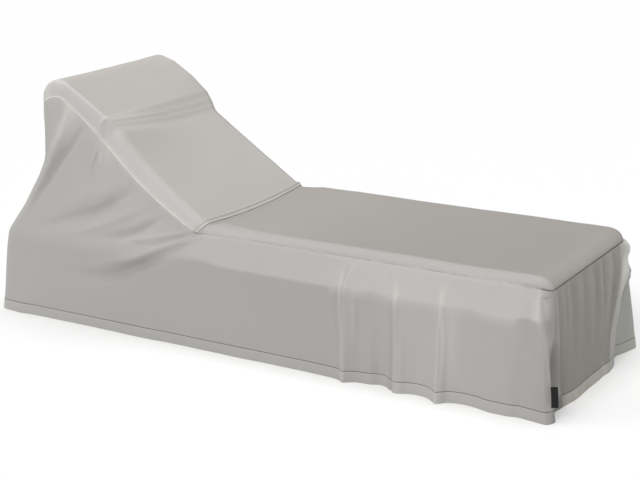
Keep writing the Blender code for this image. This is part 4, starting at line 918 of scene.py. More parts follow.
# %% Sewing marks as moves along the normals
SEAM_DIP = 0.0004
SEAM_DIP_WIDTH = 0.0045
PUCKER = 0.0013
PUCKER_REACH = 0.020
PUCKER_PITCH = 0.019
CRINKLE = 0.0016
CRINKLE_PITCH = 0.036
CREASE_RIPPLE = 0.0009
HEM_DIP = 0.0008
HEM_RIPPLE = 0.0008
HEM_SWAY = 0.0020
FOOT_FLARE = 0.001
HEM_OFF_FLOOR = 0.0003
FLAT_BY_SEAM = 0.05
TOP_UNEVEN = ((0.0016, 0.21, 0.17, 17), (0.0005, 0.07, 0.055, 18))
SKIRT_UNEVEN = ((0.0020, 0.11, 0.30, 24), (0.0006, 0.045, 0.12, 25))


def pucker_wave(x, y, turn):
    """Small ridges along the seam: by x on the long sides and by y on the ends."""
    side = two_waves(x + 3, PUCKER_PITCH, PUCKER_PITCH * 0.45, 0.5, 11)
    end = two_waves(y + 3, PUCKER_PITCH, PUCKER_PITCH * 0.45, 0.5, 13)
    return side * np.sin(turn) ** 2 + end * np.cos(turn) ** 2


def sewn(away, wave, crinkle):
    """The move outwards near a seam, this far away from it."""
    dip = (CRINKLE * crinkle - SEAM_DIP) * bell(away, SEAM_DIP_WIDTH)
    grown = 1 - bell(away, 0.004)
    return dip + PUCKER * wave * grown * np.exp(-away / PUCKER_REACH)


def crinkle_wave(x, seam_turn):
    """Short rolls along the seam at the seat, where spare cloth is caught in it."""
    roll = np.maximum(uneven_line(x + 3, CRINKLE_PITCH, 19) - 0.2, 0)
    roll = roll * uneven_line(x + 3, CRINKLE_PITCH * 0.6, 20) ** 2
    return roll * (x > CREASE_X) * np.sin(seam_turn) ** 2


def unevenness(u, v, away, layers):
    """Bumps all over a face, less near its seams. A layer is a height, a pitch each way and a seed."""
    bumps = sum(high * uneven_face(u, v, pitch_u, pitch_v, seed) for high, pitch_u, pitch_v, seed in layers)
    return bumps * np.clip(away / FLAT_BY_SEAM, 0, 1)


def top_moves():
    """Moves of the top: along the seam round it, at the crease, and all over."""
    wave = pucker_wave(top_line_x, top_row_y, top_seam_turn)
    moves = sewn(top_away, wave, crinkle_wave(top_line_x, top_seam_turn))
    moves += fold_height(TOP_FOLDS, top[..., 0], top[..., 1])
    at_crease = abs(top_along - top_along[FINE_CREASE])
    ripple = two_waves(top[..., 1] + 3, 0.034, 0.015, 0.5, 15)
    moves += CREASE_RIPPLE * ripple * bell(at_crease, 0.030) * (1 - top_share)
    return moves + unevenness(top_along, top[..., 1] + 3, top_away, TOP_UNEVEN)


def skirt_moves():
    """Moves of the skirt: under the seam, at the hem, and all over."""
    down = run_over(skirt)
    wave = pucker_wave(seam[:, 0], seam[:, 1], turns)
    crinkle = crinkle_wave(seam[:, 0], turns)
    moves = sewn(down, np.broadcast_to(wave, down.shape), np.broadcast_to(crinkle, down.shape))
    on_foot = np.cos(turns) ** 2 * (seam[:, 0] > 0)
    moves += FOOT_FLARE * on_foot * np.clip(1 - height / HEM_TOP, 0, 1)
    thick = 1 / (1 + np.exp(np.clip((height - HEM_DEPTH) / 0.0004, -30, 30)))
    along = np.broadcast_to(run_over(seam), down.shape)
    moves += HEM_EXTRA * thick - HEM_DIP * bell(height - HEM_STITCH_Z, 0.002)
    moves += HEM_RIPPLE * two_waves(along, 0.026, 0.011, 0.6, 21) * bell(height - HEM_DEPTH, 0.016)
    moves += HEM_SWAY * uneven_line(along, 0.13, 23) * np.clip(1 - height / 0.10, 0, 1)
    return moves + unevenness(along, down, down, SKIRT_UNEVEN), down


top_outer = top + top_normals * top_moves()[..., None]
moves, skirt_down = skirt_moves()
skirt_outer = skirt + skirt_normals * moves[..., None]
shared_points = (top_outer[ring[:, 0], ring[:, 1]] + skirt_outer[0]) / 2
top_outer[ring[:, 0], ring[:, 1]] = shared_points
skirt_outer[0] = shared_points
skirt_outer[-1, :, 2] = HEM_OFF_FLOOR
print("moves in mm, deepest and highest:", (np.array([moves.min(), moves.max()]) * 1000).round(2))

# %% [markdown]
# ## Marks on the cloth
#
# The cloth doesn't look the same all over. Light and shade are painted on it: painted highlights on its crests,
# painted shade in its valleys and low down, and lighter or darker edges and hem strips by how the light falls on
# them. It is also marked along its edges by the sewing. Each such thing is worked out here as one number for each
# point, and the cloth material reads it as an attribute. Distances from a seam are kept in metres, so that the
# material can draw a line much finer than the mesh.

# %% Marks of the top
# Painted light and shade of the top. TONE_EDGE is where the near edge's lighter colour, painted light, begins. The
# far edge is painted darker, the head rest gets a painted highlight along its ridge and painted shade on its band,
# its step is painted lighter, the cloth beside the near seam is painted lighter, and the seat is painted lighter by
# the crease, darker towards the foot and lighter again over the foot edge.
TONE_EDGE = (
    (-0.860, -0.296), (-0.700, -0.303), (-0.600, -0.316), (-0.248, -0.316), (-0.205, -0.262), (-0.119, -0.276),
    (0.021, -0.294), (0.130, -0.303), (1.020, -0.303),
)
EDGE_SOFT = 0.010
FAR_EDGE_SHADE = -0.26
HEAD_REST_FOOT_X = -0.612
HEAD_REST_END_X = -0.885
HEAD_RIDGE_Y = -0.311
HEAD_RIDGE_WIDTH = 0.0055
HEAD_RIDGE_HIGHLIGHT = 0.14
HEAD_BAND_Y = -0.316
HEAD_BAND_SHADE = -0.07
SEWN_WIDTH = 0.007
BACK_SEAM_END_X = -0.235
STROKE_LENGTH = 0.011
SEAM_TONE = 0.14
SEAM_BROAD_TONE = 0.05
SEAM_TONE_END_X = 1.0
SEAT_TONE = (
    (-0.200, 0.060), (0.050, 0.050), (0.200, 0.010), (0.400, -0.025), (0.600, -0.050), (0.800, -0.065),
    (0.990, -0.075), (1.030, -0.010), (1.066, 0.060),
)
STEP_TONE_HALF = 0.335
STEP_TONE_FAR_Y = 0.330
STEP_TONE = (
    (0.672, 0.00), (0.684, 0.10), (0.694, 0.24), (0.702, 0.34), (0.709, 0.20), (0.716, 0.17), (0.724, 0.11),
    (0.737, 0.12), (0.745, 0.08), (0.749, 0.01), (0.755, 0.00),
)


def light_sewing(x, y, turn):
    """How plainly the pale thread and its ridge show along the seam at a place on it."""
    back = smooth_step((BACK_SEAM_END_X - x) / 0.02)
    strokes = sum(bell(x - at, STROKE_LENGTH) for at in STROKES)
    on_seat = (1 - back) * (0.10 + 0.60 * strokes) * np.sin(turn) ** 2
    return back * np.where(y < 0, 1.0, 0.4) * (0.35 + 0.65 * np.sin(turn) ** 2) + on_seat


def dark_sewing(x, turn):
    """The same for the dark line of the foot's seam and its corners: painted shade in its groove, by the dark
    thread.
    """
    return (x > 0) * smooth_step((math.radians(78) - turn) / math.radians(14))


def top_marks():
    x, y = top[..., 0], top[..., 1]
    near_edge = smooth_step((curve_through(top_line_x, TONE_EDGE) + EDGE_SOFT / 2 - y) / EDGE_SOFT)
    far_edge = smooth_step((y - FLAT_HALF + EDGE_SOFT / 2) / EDGE_SOFT)
    on_head = smooth_step((HEAD_REST_FOOT_X - x) / 0.02) * smooth_step((x - HEAD_REST_END_X) / 0.03)
    ridge = bell(y - HEAD_RIDGE_Y, HEAD_RIDGE_WIDTH) * on_head
    band = smooth_step((HEAD_BAND_Y - y) / 0.006) * on_head
    step_z = np.concatenate([np.full(EDGE_STEPS, 1.0), station_z, np.zeros(EDGE_STEPS)])
    on_step = curve_through(step_z, STEP_TONE)[:, None]
    on_step = on_step * smooth_step((y + STEP_TONE_HALF) / 0.05) * smooth_step((STEP_TONE_FAR_Y - y) / 0.03)
    on_seat = curve_through(x, SEAT_TONE) * (x > CREASE_X) * (1 - np.maximum(near_edge, far_edge))
    # Painted light on the cloth beside the near seam.
    beside = SEAM_TONE * bell(top_away, 0.010) + SEAM_BROAD_TONE * bell(top_away, 0.022)
    beside = beside * np.sin(top_seam_turn) ** 2 * smooth_step((SEAM_TONE_END_X - top_line_x) / 0.06)
    # Painted shade on the far edge and on the head rest's band, and a painted highlight along its ridge.
    edges = FAR_EDGE_SHADE * far_edge + HEAD_RIDGE_HIGHLIGHT * ridge + HEAD_BAND_SHADE * band
    return {
        "sewn": bell(top_away, SEWN_WIDTH),
        "turned": np.maximum(near_edge, far_edge),
        "painted_shading": edges + on_step + on_seat + beside * (y < 0),
        "from_seam": top_away,
        "pale_line": light_sewing(top_line_x, y, top_seam_turn),
        "dark_line": dark_sewing(top_line_x, top_seam_turn),
        "above_hem": np.ones(x.shape),
    }


top_mark = top_marks()

# %% Marks of the skirt
# Painted light and shade of the skirt. On the near side the band below the seam and the cloth just under the back's
# seam are painted lighter and the cloth below the band darker, crests and gathers get painted highlights and their
# valleys painted shade, and the foot is painted darker low down and lighter high up. The hem strips are painted
# lighter or darker by how the light falls on them, with light and dark patches along the foot's hem for its
# ripples.
LOW_TONE = (
    (-1.050, -0.020), (-0.800, -0.040), (-0.400, -0.075), (0.100, -0.085), (0.365, -0.095), (0.390, -0.045),
    (0.430, -0.075), (0.500, -0.045), (0.560, -0.065), (0.590, 0.030), (0.640, 0.010), (0.700, 0.010),
    (0.760, 0.030), (0.860, -0.035), (1.000, -0.065), (1.060, -0.115), (1.120, -0.120),
)
HIGH_TONE = (
    (-1.000, 0.040), (-0.600, 0.070), (-0.350, 0.050), (-0.280, 0.015), (-0.150, 0.050), (0.250, 0.060),
    (0.360, 0.100), (0.600, 0.130), (0.750, 0.110), (0.920, 0.095), (1.060, 0.050),
)
BAND_TONE_REACH = 0.004
PLEAT_TONE_FROM_X = 0.30
PLEAT_TONE_TO_X = 0.98
PLEAT_TONE_DROP = 0.016
PLEAT_TONE_REACH = 0.044
SLANT_TONE = 0.05
SLANT_TONE_FROM_X = -0.42
FULL_CREST = 0.006
FOOT_PANEL_HALF = 0.281
FOOT_TONE = ((0.050, -0.050), (0.200, -0.045), (0.300, 0.020), (0.390, 0.060))
CREST_TONE = 0.11
GATHER_TONE = 0.14
FOOT_HEM_TONE = 0.02
FOOT_HEM_PATCHES = 0.10
FAR_HEM_TONE = 0.10
NEAR_HEM_TONE = -0.25
SIDE_HEM_TONE = 0.060


def skirt_marks():
    x = skirt[..., 0]
    foot = seam[:, 0] > 0
    on_foot = np.cos(turns) ** 2 * foot
    on_side = np.sin(turns) ** 2
    reach = np.maximum(curve_through(seam[:, 0], BAND_SOFTNESS), BAND_TONE_REACH)
    low = smooth_step(0.5 + (band_z - height) / reach)
    lower = smooth_step(0.5 + (band_z - PLEAT_TONE_DROP - height) / PLEAT_TONE_REACH)
    low = np.where((seam[:, 0] > PLEAT_TONE_FROM_X) & (seam[:, 0] < PLEAT_TONE_TO_X), lower, low)
    near = (seam[:, 1] < 0) * on_side
    # Painted light and shade of the skirt, summed from the tables above and the shades tables.
    painted_shading = near * (curve_through(x, LOW_TONE) * low + curve_through(x, HIGH_TONE) * (1 - low))
    crests = np.clip(fold_height(NEAR_CREASES, x, height) / FULL_CREST, -1.2, 1.2)
    painted_shading += near * (CREST_TONE * crests + fold_height(NEAR_SHADES, x, height))
    painted_shading += near * SLANT_TONE * bell(skirt_down, 0.045) * smooth_step((SLANT_TONE_FROM_X - seam[:, 0]) / 0.15)
    near_corner = (seam[:, 1] < 0) & foot & (turns < math.pi / 2 - 1e-6)
    painted_shading += near_corner * fold_height(CORNER_SHADES, skirt[..., 1], height)
    painted_shading += near * SEAM_TONE * bell(skirt_down, 0.009) * (seam[:, 0] < PLEAT_TONE_TO_X)
    gathers = [row for row in FOOT_FOLDS if "gather" in row[0]] + list(GATHER_CREASES)
    gathered = np.clip(fold_height(gathers, skirt[..., 1], height) / FULL_CREST, -1, 1)
    panel = abs(seam[:, 1]) < FOOT_PANEL_HALF
    on_panel = on_foot * panel
    painted_shading += on_panel * (GATHER_TONE * gathered + curve_through(height, FOOT_TONE))
    painted_shading += on_foot * fold_height(FOOT_SHADES, skirt[..., 1], height)
    hem_part = smooth_step(0.5 + (HEM_STITCH_Z - height) / 0.002)
    foot_hem = FOOT_HEM_TONE + FOOT_HEM_PATCHES * uneven_line(skirt[..., 1] + 3, 0.016, 41)
    foot_hem = np.where(panel, foot_hem, np.where(seam[:, 1] > 0, FAR_HEM_TONE, NEAR_HEM_TONE))
    painted_shading = painted_shading + hem_part * (foot_hem * on_foot + SIDE_HEM_TONE * on_side)
    one = np.ones(height.shape)
    return {
        "sewn": bell(skirt_down, SEWN_WIDTH) + 0.4 * (height < HEM_DEPTH + 0.001),
        "turned": hem_part * on_panel,
        "painted_shading": painted_shading,
        "from_seam": skirt_down,
        "pale_line": 0 * one,
        "dark_line": dark_sewing(seam[:, 0], turns) * one,
        "above_hem": height,
    }


skirt_mark = skirt_marks()
tones = skirt_mark["painted_shading"]
print("tone of the skirt from", round(float(tones.min()), 3), "to", round(float(tones.max()), 3))

# %% [markdown]
# ## Making a shader tree by writing sums
#
# A material's pattern is arithmetic on sockets. Wiring Math nodes by hand is slow to read, so a small class wraps
# a socket and lets Python's own signs add the nodes. Every node comes from one method, node(), here and later on
# in the stitches.

# %% Shader arithmetic
class Wire:
    """One output socket, ready for sums."""

    def __init__(self, book, socket):
        self.book = book
        self.socket = socket

    def __add__(self, other):
        return self.book.math("ADD", self, other)

    def __radd__(self, other):
        return self.book.math("ADD", other, self)

    def __sub__(self, other):
        return self.book.math("SUBTRACT", self, other)

    def __rsub__(self, other):
        return self.book.math("SUBTRACT", other, self)

    def __mul__(self, other):
        return self.book.math("MULTIPLY", self, other)

    def __rmul__(self, other):
        return self.book.math("MULTIPLY", other, self)


class Book:
    """The node tree of a new material, or of a new group when its kind is given."""

    def __init__(self, name, kind=None):
        if kind:
            self.tree = bpy.data.node_groups.new(name, kind)
            return
        self.material = bpy.data.materials.new(name)
        self.material.use_nodes = True
        self.tree = self.material.node_tree
        self.shader = self.tree.nodes["Principled BSDF"]

    def node(self, kind, settings=None, sockets=None, out=0):
        """A node of this kind, with its settings made first and then its sockets set or linked."""
        made = self.tree.nodes.new(kind)
        for key, value in (settings or {}).items():
            setattr(made, key, value)
        for key, value in (sockets or {}).items():
            self.feed(made.inputs[key], value)
        return Wire(self, made.outputs[out]) if made.outputs else None

    def feed(self, socket, value):
        if isinstance(value, Wire):
            self.tree.links.new(value.socket, socket)
        else:
            socket.default_value = value

    def math(self, operation, *values):
        return self.node("ShaderNodeMath", {"operation": operation}, dict(enumerate(values)))

    def blend(self, share, first, second, **settings):
        """A colour between two others, each of them three numbers or a wire."""
        pair = [colour if isinstance(colour, Wire) else (*colour, 1) for colour in (first, second)]
        return self.node("ShaderNodeMix", {"data_type": "RGBA", **settings}, {0: share, 6: pair[0], 7: pair[1]}, 2)

    def noise(self, where, scale, detail=2.0, roughness=0.5):
        places = {"Vector": where, "Scale": scale, "Detail": detail, "Roughness": roughness}
        return self.node("ShaderNodeTexNoise", None, places)

    def bump(self, strength, distance, height):
        return self.node("ShaderNodeBump", None, {"Strength": strength, "Distance": distance, "Height": height})

    def set(self, **values):
        for name, value in values.items():
            self.feed(self.shader.inputs[name.replace("_", " ")], value)


# %% [markdown]
# ## The cover cloth
#
# The real cloth is a light, matt, plain weave in a warm grey, and its threads are a little uneven. The weave reads
# the sheet's own UV map, which is in metres, so the threads run along and across each piece. Broad mottling reads
# Object coordinates, so it runs on from one piece to the next. The marks worked out above paint light and shade on
# the cloth, and draw the sewn lines.

# %% Cloth material
THREAD_PITCH = 0.0012
PALE_LINE = (0.0010, 0.0024)
DARK_LINE = (0.0008, 0.0015)
# Where the hem's stitch line is painted darker, as the shade of its groove, and where the fold below it gets a
# painted highlight.
HEM_GROOVE = (HEM_STITCH_Z, 0.0021)
HEM_FOLD = (HEM_DEPTH - 0.0072, 0.0022)
MARKS = ("sewn", "turned", "painted_shading", "from_seam", "pale_line", "dark_line", "above_hem")


def tent(book, value, centre, half):
    """A line in a pattern: 1 where the value is at the centre, falling to 0 a half width away."""
    return book.math("MAXIMUM", 1 - book.math("ABSOLUTE", (value - centre) * (1 / half)), 0.0)


def cover_cloth(name, colour, edge_colour):
    book = Book(name)
    mark = {key: book.node("ShaderNodeAttribute", {"attribute_name": key}, None, 2) for key in MARKS}
    uv = book.node("ShaderNodeUVMap", {"uv_map": "cloth"})
    u = book.node("ShaderNodeSeparateXYZ", None, {0: uv}, 0)
    v = book.node("ShaderNodeSeparateXYZ", None, {0: uv}, 1)
    turns_per_metre = 2 * math.pi / THREAD_PITCH
    weave = book.math("SINE", u * turns_per_metre) * book.math("SINE", v * turns_per_metre)
    where = book.node("ShaderNodeTexCoord", None, None, 3)
    slub = book.noise(uv, 420.0)
    broad = book.noise(where, 4.5, 3.0, 0.55)
    grain = book.noise(uv, 150.0, 3.0, 0.6)
    ridge = tent(book, mark["from_seam"], *PALE_LINE) * mark["pale_line"]
    # The dark line by the foot seam is painted shade in the seam's groove.
    groove = tent(book, mark["from_seam"], *DARK_LINE) * mark["dark_line"]
    # Painted shade in the hem's stitch groove, and a painted highlight on the fold just below it.
    hem_groove = tent(book, mark["above_hem"], *HEM_GROOVE)
    hem_lip_highlight = tent(book, mark["above_hem"], *HEM_FOLD)
    shade = 0.935 + broad * 0.05 + grain * 0.08 - mark["sewn"] * 0.03 + weave * 0.012
    # The marks' painted light and shade, the pale seam line and the hem's painted highlight.
    shade = shade * (1 + mark["painted_shading"] + ridge * 0.75 + hem_lip_highlight * 0.16)
    # Painted shade in the seam's and the hem's grooves.
    shade = shade * (1 - groove * 0.75) * (1 - hem_groove * 0.62)
    # The lighter colour of the turned edges is painted light.
    plain = book.blend(mark["turned"], colour, edge_colour)
    tint = book.blend(shade, (0.0, 0.0, 0.0), plain, clamp_factor=False)
    bump = book.bump(0.35, 0.0004, weave * 0.5 + slub * 0.7 + ridge * 2.0 - hem_groove)
    book.set(Base_Color=tint, Roughness=0.88 + grain * 0.06, Normal=bump)
    book.set(Metallic=0.0, Sheen_Weight=0.12, Sheen_Roughness=0.5)
    return book.material


# One cloth, but each piece has its own colour, which is painted light and shade: the back is lighter where the
# light falls on it most, and the seat and the foot end darker where it falls less.
CLOTH_COLOURS = {
    "seat_panel": (0.352, 0.332, 0.309),
    "back_panel": (0.523, 0.500, 0.474),
    "crease_tuck": (0.450, 0.430, 0.405),
    "near_side_panel": (0.412, 0.401, 0.382),
    "far_side_panel": (0.406, 0.402, 0.374),
    "foot_end_panel": (0.291, 0.271, 0.242),
    "head_end_panel": (0.412, 0.401, 0.382),
}
# The turned edges and the foot's hem strip are painted lighter, as the light falls on them.
LIT_EDGE_COLOURS = {
    "seat_panel": (0.425, 0.414, 0.396),
    "back_panel": (0.533, 0.520, 0.497),
    "foot_end_panel": (0.470, 0.442, 0.400),
}
cloths = {
    name: cover_cloth(name + "_cloth_fine", colour, LIT_EDGE_COLOURS.get(name, colour))
    for name, colour in CLOTH_COLOURS.items()
}
print("materials:", ", ".join(sorted(cloths)))

# %% [markdown]
# ## From a grid to a sheet of cloth
#
# A sheet is the outer grid, the same grid one thickness further in, and a rim that joins their edges. So it is a
# closed body as thin as the real cloth. Its edges are drawn back a hair at each seam, because the pieces must not
# touch.

# %% Closed sheets
def stand(name, data):
    """A new object in the scene, at the origin."""
    made = bpy.data.objects.new(name, data)
    bpy.context.scene.collection.objects.link(made)
    return made


def drawn_in(grid, normals, sides):
    """The grid with its named edges drawn back a hair."""
    moved = grid.copy()
    edges = {
        "first row": (np.s_[0, :], 1),
        "last row": (np.s_[-1, :], -1),
        "first column": (np.s_[:, 0], -1),
        "last column": (np.s_[:, -1], 1),
    }
    for name in sides:
        edge, way = edges[name]
        along = unit(np.gradient(grid[edge], axis=0))
        moved[edge] += unit(np.cross(along, normals[edge])) * way * SEAM_SHIFT
    return moved


def cloth_sheet(name, outer, normals, sides, thickness, uv, marks, left_out=None):
    """One closed sheet of cloth as an object, with its UV map in metres and its marks."""
    outer = drawn_in(outer, normals, sides)
    inner = outer - normals * thickness
    rows, columns = outer.shape[:2]
    index = np.arange(rows * columns).reshape(rows, columns)
    if left_out is not None:
        for i in range(1, rows):
            index[i] = np.where(left_out[i], index[i - 1], index[i])
    used, index = np.unique(index, return_inverse=True)
    index = index.reshape(rows, columns)
    count = len(used)
    points = place(np.concatenate([outer.reshape(-1, 3)[used], inner.reshape(-1, 3)[used]]))
    quads = np.stack([index[:-1, :-1], index[1:, :-1], index[1:, 1:], index[:-1, 1:]], axis=-1)
    front = [tuple(dict.fromkeys(quad)) for quad in quads.reshape(-1, 4).tolist()]
    front = [face for face in front if len(face) > 2]
    edges = {(a, b) for face in front for a, b in zip(face, face[1:] + face[:1])}
    rim = [(b, a, count + a, count + b) for a, b in edges if (b, a) not in edges]
    back = [tuple(count + c for c in reversed(face)) for face in front]
    mesh = bpy.data.meshes.new(name + "_sheet")
    mesh.from_pydata(points.tolist(), [], front + back + sorted(rim))
    corners = np.zeros(len(mesh.loops), int)
    mesh.loops.foreach_get("vertex_index", corners)
    map_points = np.tile(uv.reshape(-1, 2)[used], (2, 1))
    mesh.uv_layers.new(name="cloth").data.foreach_set("uv", map_points[corners].ravel())
    for key, values in marks.items():
        mark = mesh.attributes.new(key, "FLOAT", "POINT")
        mark.data.foreach_set("value", np.tile(values.reshape(-1)[used], 2).astype(np.float32))
    mesh.materials.append(cloths[name])
    mesh.shade_smooth()
    mesh.set_sharp_from_angle(angle=math.radians(70))
    sheet = stand(name + "_sheet", mesh)
    print(sheet.name, len(points), "points,", sum(len(face.vertices) - 2 for face in mesh.polygons), "triangles")
    return sheet


# %% The seat cloth and the back cloth
ALL_EDGES = ("first row", "last row", "first column", "last column")
middle_row = top.shape[1] // 2
middle_run = top_along[:, middle_row]
top_uv = np.stack(
    [middle_run[:, None] + np.zeros(top.shape[:2]), top_across - top_across[:, middle_row][:, None]],
    axis=-1,
)


def top_sheet(name, lines):
    """One of the two pieces of the top, which takes its own lines of the grid."""
    marks = {key: values[lines] for key, values in top_mark.items()}
    return cloth_sheet(name, top_outer[lines], top_normals[lines], ALL_EDGES, CLOTH, top_uv[lines], marks)


seat = top_sheet("seat_panel", slice(FINE_CREASE, None))
back = top_sheet("back_panel", slice(FINE_CREASE + 1))

# %% [markdown]
# ### The tuck along the crease
#
# Where the back meets the seat the maker sewed a narrow tuck, a soft roll nearly three centimetres wide that
# takes up the spare cloth. It lies on the back cloth just above the crease, is fuller at its far end, and is
# pinched where it runs into the near seam.

# %% The crease tuck
TUCK_FROM = 0.0050
TUCK_TO = 0.0330
TUCK_STEPS = 12
TUCK_LIFT = 0.0036
TUCK_WRINKLE = 0.16
TUCK_FULLNESS = ((-0.335, 0.45), (-0.300, 0.75), (-0.150, 0.92), (0.100, 0.90), (0.280, 1.10), (0.335, 0.95))
# Painted light and shade across the tuck's roll, by the length of cloth from its lower edge: a dark line at that
# edge by the crease, a painted highlight just above it, then painted shade and light over the rest of the roll.
TUCK_TONE = (
    (0.000, -0.250), (0.003, 0.420), (0.007, 0.420), (0.011, 0.050), (0.014, -0.180), (0.018, 0.060),
    (0.024, 0.140), (0.028, -0.060),
)


def tuck_grid():
    """The outer face of the tuck: rows across its width, from its upper edge to the crease."""
    run = middle_run[FINE_CREASE] - middle_run
    order = np.argsort(run)
    rows, normals = [], []
    shares = np.linspace(1, 0, TUCK_STEPS + 1)
    for share in shares:
        at = TUCK_FROM + (TUCK_TO - TUCK_FROM) * share
        k = int(np.searchsorted(run[order], at))
        low, high = order[k - 1], order[k]
        part = (at - run[low]) / (run[high] - run[low])
        rows.append(top_outer[low] * (1 - part) + top_outer[high] * part)
        normals.append(unit(top_normals[low] * (1 - part) + top_normals[high] * part))
    rows, normals = np.array(rows), np.array(normals)
    shares = shares[:, None]
    full = curve_through(rows[..., 1], TUCK_FULLNESS)
    wrinkle = 1 + TUCK_WRINKLE * two_waves(rows[..., 1] + 3, 0.021, 0.009, 0.5, 31)
    lift = 0.0005 + TUCK_LIFT * np.sin(math.pi * shares**1.15) ** 1.1 * full * wrinkle
    return rows + normals * (CLOTH + lift)[..., None], normals


tuck, tuck_normals = tuck_grid()
tuck_run = np.linspace(TUCK_TO - TUCK_FROM, 0, TUCK_STEPS + 1)
tuck_uv = np.stack([tuck_run[:, None] + np.zeros(tuck.shape[:2]), tuck[..., 1]], axis=-1)
one = np.ones(tuck.shape[:2])
tuck_mark = {
    "painted_shading": curve_through(tuck_run, TUCK_TONE)[:, None] * one,
    "sewn": bell(tuck_run[:, None] * one, 0.004),
    "above_hem": one,
    "from_seam": one,
}
tuck_sheet = cloth_sheet("crease_tuck", tuck, tuck_normals, ALL_EDGES, CLOTH, tuck_uv, tuck_mark)

# %% [markdown]
# ### The four pieces of the skirt
#
# The skirt is cut near the corners into two long sides, a foot and a head. Each takes its columns of the one
# grid, so the pieces meet without a step. The hem is part of its cloth, and thicker.

# %% Skirt pieces
def column_at(end, y):
    """The column below the place y on the seam of the foot or of the head."""
    on_end = (turns < 1e-6) & ((seam[:, 0] > 0) == (end == "foot"))
    gaps = np.where(on_end, abs(seam[:, 1] - y), np.inf)
    return int(np.argmin(gaps))


cuts = {
    "near_side_panel": (column_at("head", HEAD_SEAMS[0]), column_at("foot", FOOT_SEAMS[0])),
    "foot_end_panel": (column_at("foot", FOOT_SEAMS[0]), column_at("foot", FOOT_SEAMS[1])),
    "far_side_panel": (column_at("foot", FOOT_SEAMS[1]), column_at("head", HEAD_SEAMS[1])),
    "head_end_panel": (column_at("head", HEAD_SEAMS[1]), column_at("head", HEAD_SEAMS[0])),
}
total = skirt.shape[1]
thickness = np.full(skirt.shape[:2] + (1,), CLOTH)
thickness[height <= HEM_DEPTH] += HEM_EXTRA
skirt_uv = np.stack([np.broadcast_to(run_over(hem), height.shape), skirt_down[-1:] - skirt_down], axis=-1)
pieces = {"seat_panel": seat, "back_panel": back, "crease_tuck": tuck_sheet}
for name, (start, end) in cuts.items():
    columns = np.arange(start, end + 1 if end > start else end + 1 + total) % total
    pieces[name] = cloth_sheet(
        name,
        skirt_outer[:, columns],
        skirt_normals[:, columns],
        ("first row", "first column", "last column"),
        thickness[:, columns],
        skirt_uv[:, columns],
        {key: values[:, columns] for key, values in skirt_mark.items()},
        merged[:, columns],
    )

# %% [markdown]
# ## Stitches
#
# A line of stitches is the same short thread again and again along a seam, which is what Geometry Nodes are for.
# The tree takes a line with an outward direction at each of its points, spaces points along it, and puts a small
# thread on each. Then the result is made a plain mesh and the modifier is taken off, because the frame keeps
# plain meshes.

# %% The stitch tree
def thread_material(name, colour):
    book = Book(name)
    where = book.node("ShaderNodeTexCoord", None, None, 3)
    twist = book.noise(where, 900.0)
    tint = book.blend(twist, [0.82 * part for part in colour], colour)
    book.set(Base_Color=tint, Roughness=0.7, Metallic=0.0, Normal=book.bump(0.4, 0.0002, twist))
    return book.material


def stitch_tree():
    book = Book("stitch line", "GeometryNodeTree")
    sockets = {"Line": "Geometry", "Pitch": "Float", "Stitch length": "Float", "Thread width": "Float"}
    for name, kind in {**sockets, "Thread": "Material"}.items():
        book.tree.interface.new_socket(name=name, in_out="INPUT", socket_type="NodeSocket" + kind)
    book.tree.interface.new_socket(name="Stitches", in_out="OUTPUT", socket_type="NodeSocketGeometry")
    given = {name: Wire(book, socket) for name, socket in book.tree.nodes.new("NodeGroupInput").outputs.items()}
    line = book.node("GeometryNodeMeshToCurve", None, {"Mesh": given["Line"]})
    spots = book.node("GeometryNodeResampleCurve", {"mode": "LENGTH"}, {"Curve": line, "Length": given["Pitch"]})
    tangent = book.node("GeometryNodeInputTangent")
    outward = book.node("GeometryNodeInputNamedAttribute", {"data_type": "FLOAT_VECTOR"}, {"Name": "outward"})
    turn = "FunctionNodeAlignRotationToVector"
    along = book.node(turn, {"axis": "X"}, {"Vector": tangent})
    upright = book.node(turn, {"axis": "Z", "pivot_axis": "X"}, {"Rotation": along, "Vector": outward})
    ball = book.node("GeometryNodeMeshUVSphere", None, {"Segments": 6, "Rings": 4, "Radius": 0.5})
    width = given["Thread width"]
    size = book.node("ShaderNodeCombineXYZ", None, {"X": given["Stitch length"], "Y": width, "Z": width})
    thread = book.node("GeometryNodeTransform", None, {"Geometry": ball, "Scale": size})
    thread = book.node("GeometryNodeSetShadeSmooth", None, {"Geometry": thread})
    placing = {"Points": spots, "Instance": thread, "Rotation": upright}
    placed = book.node("GeometryNodeInstanceOnPoints", None, placing)
    real = book.node("GeometryNodeRealizeInstances", None, {"Geometry": placed})
    finished = book.node("GeometryNodeSetMaterial", None, {"Geometry": real, "Material": given["Thread"]})
    book.node("NodeGroupOutput", None, {"Stitches": finished})
    return book.tree


STITCHES = stitch_tree()
THREAD_SIT = 0.00025


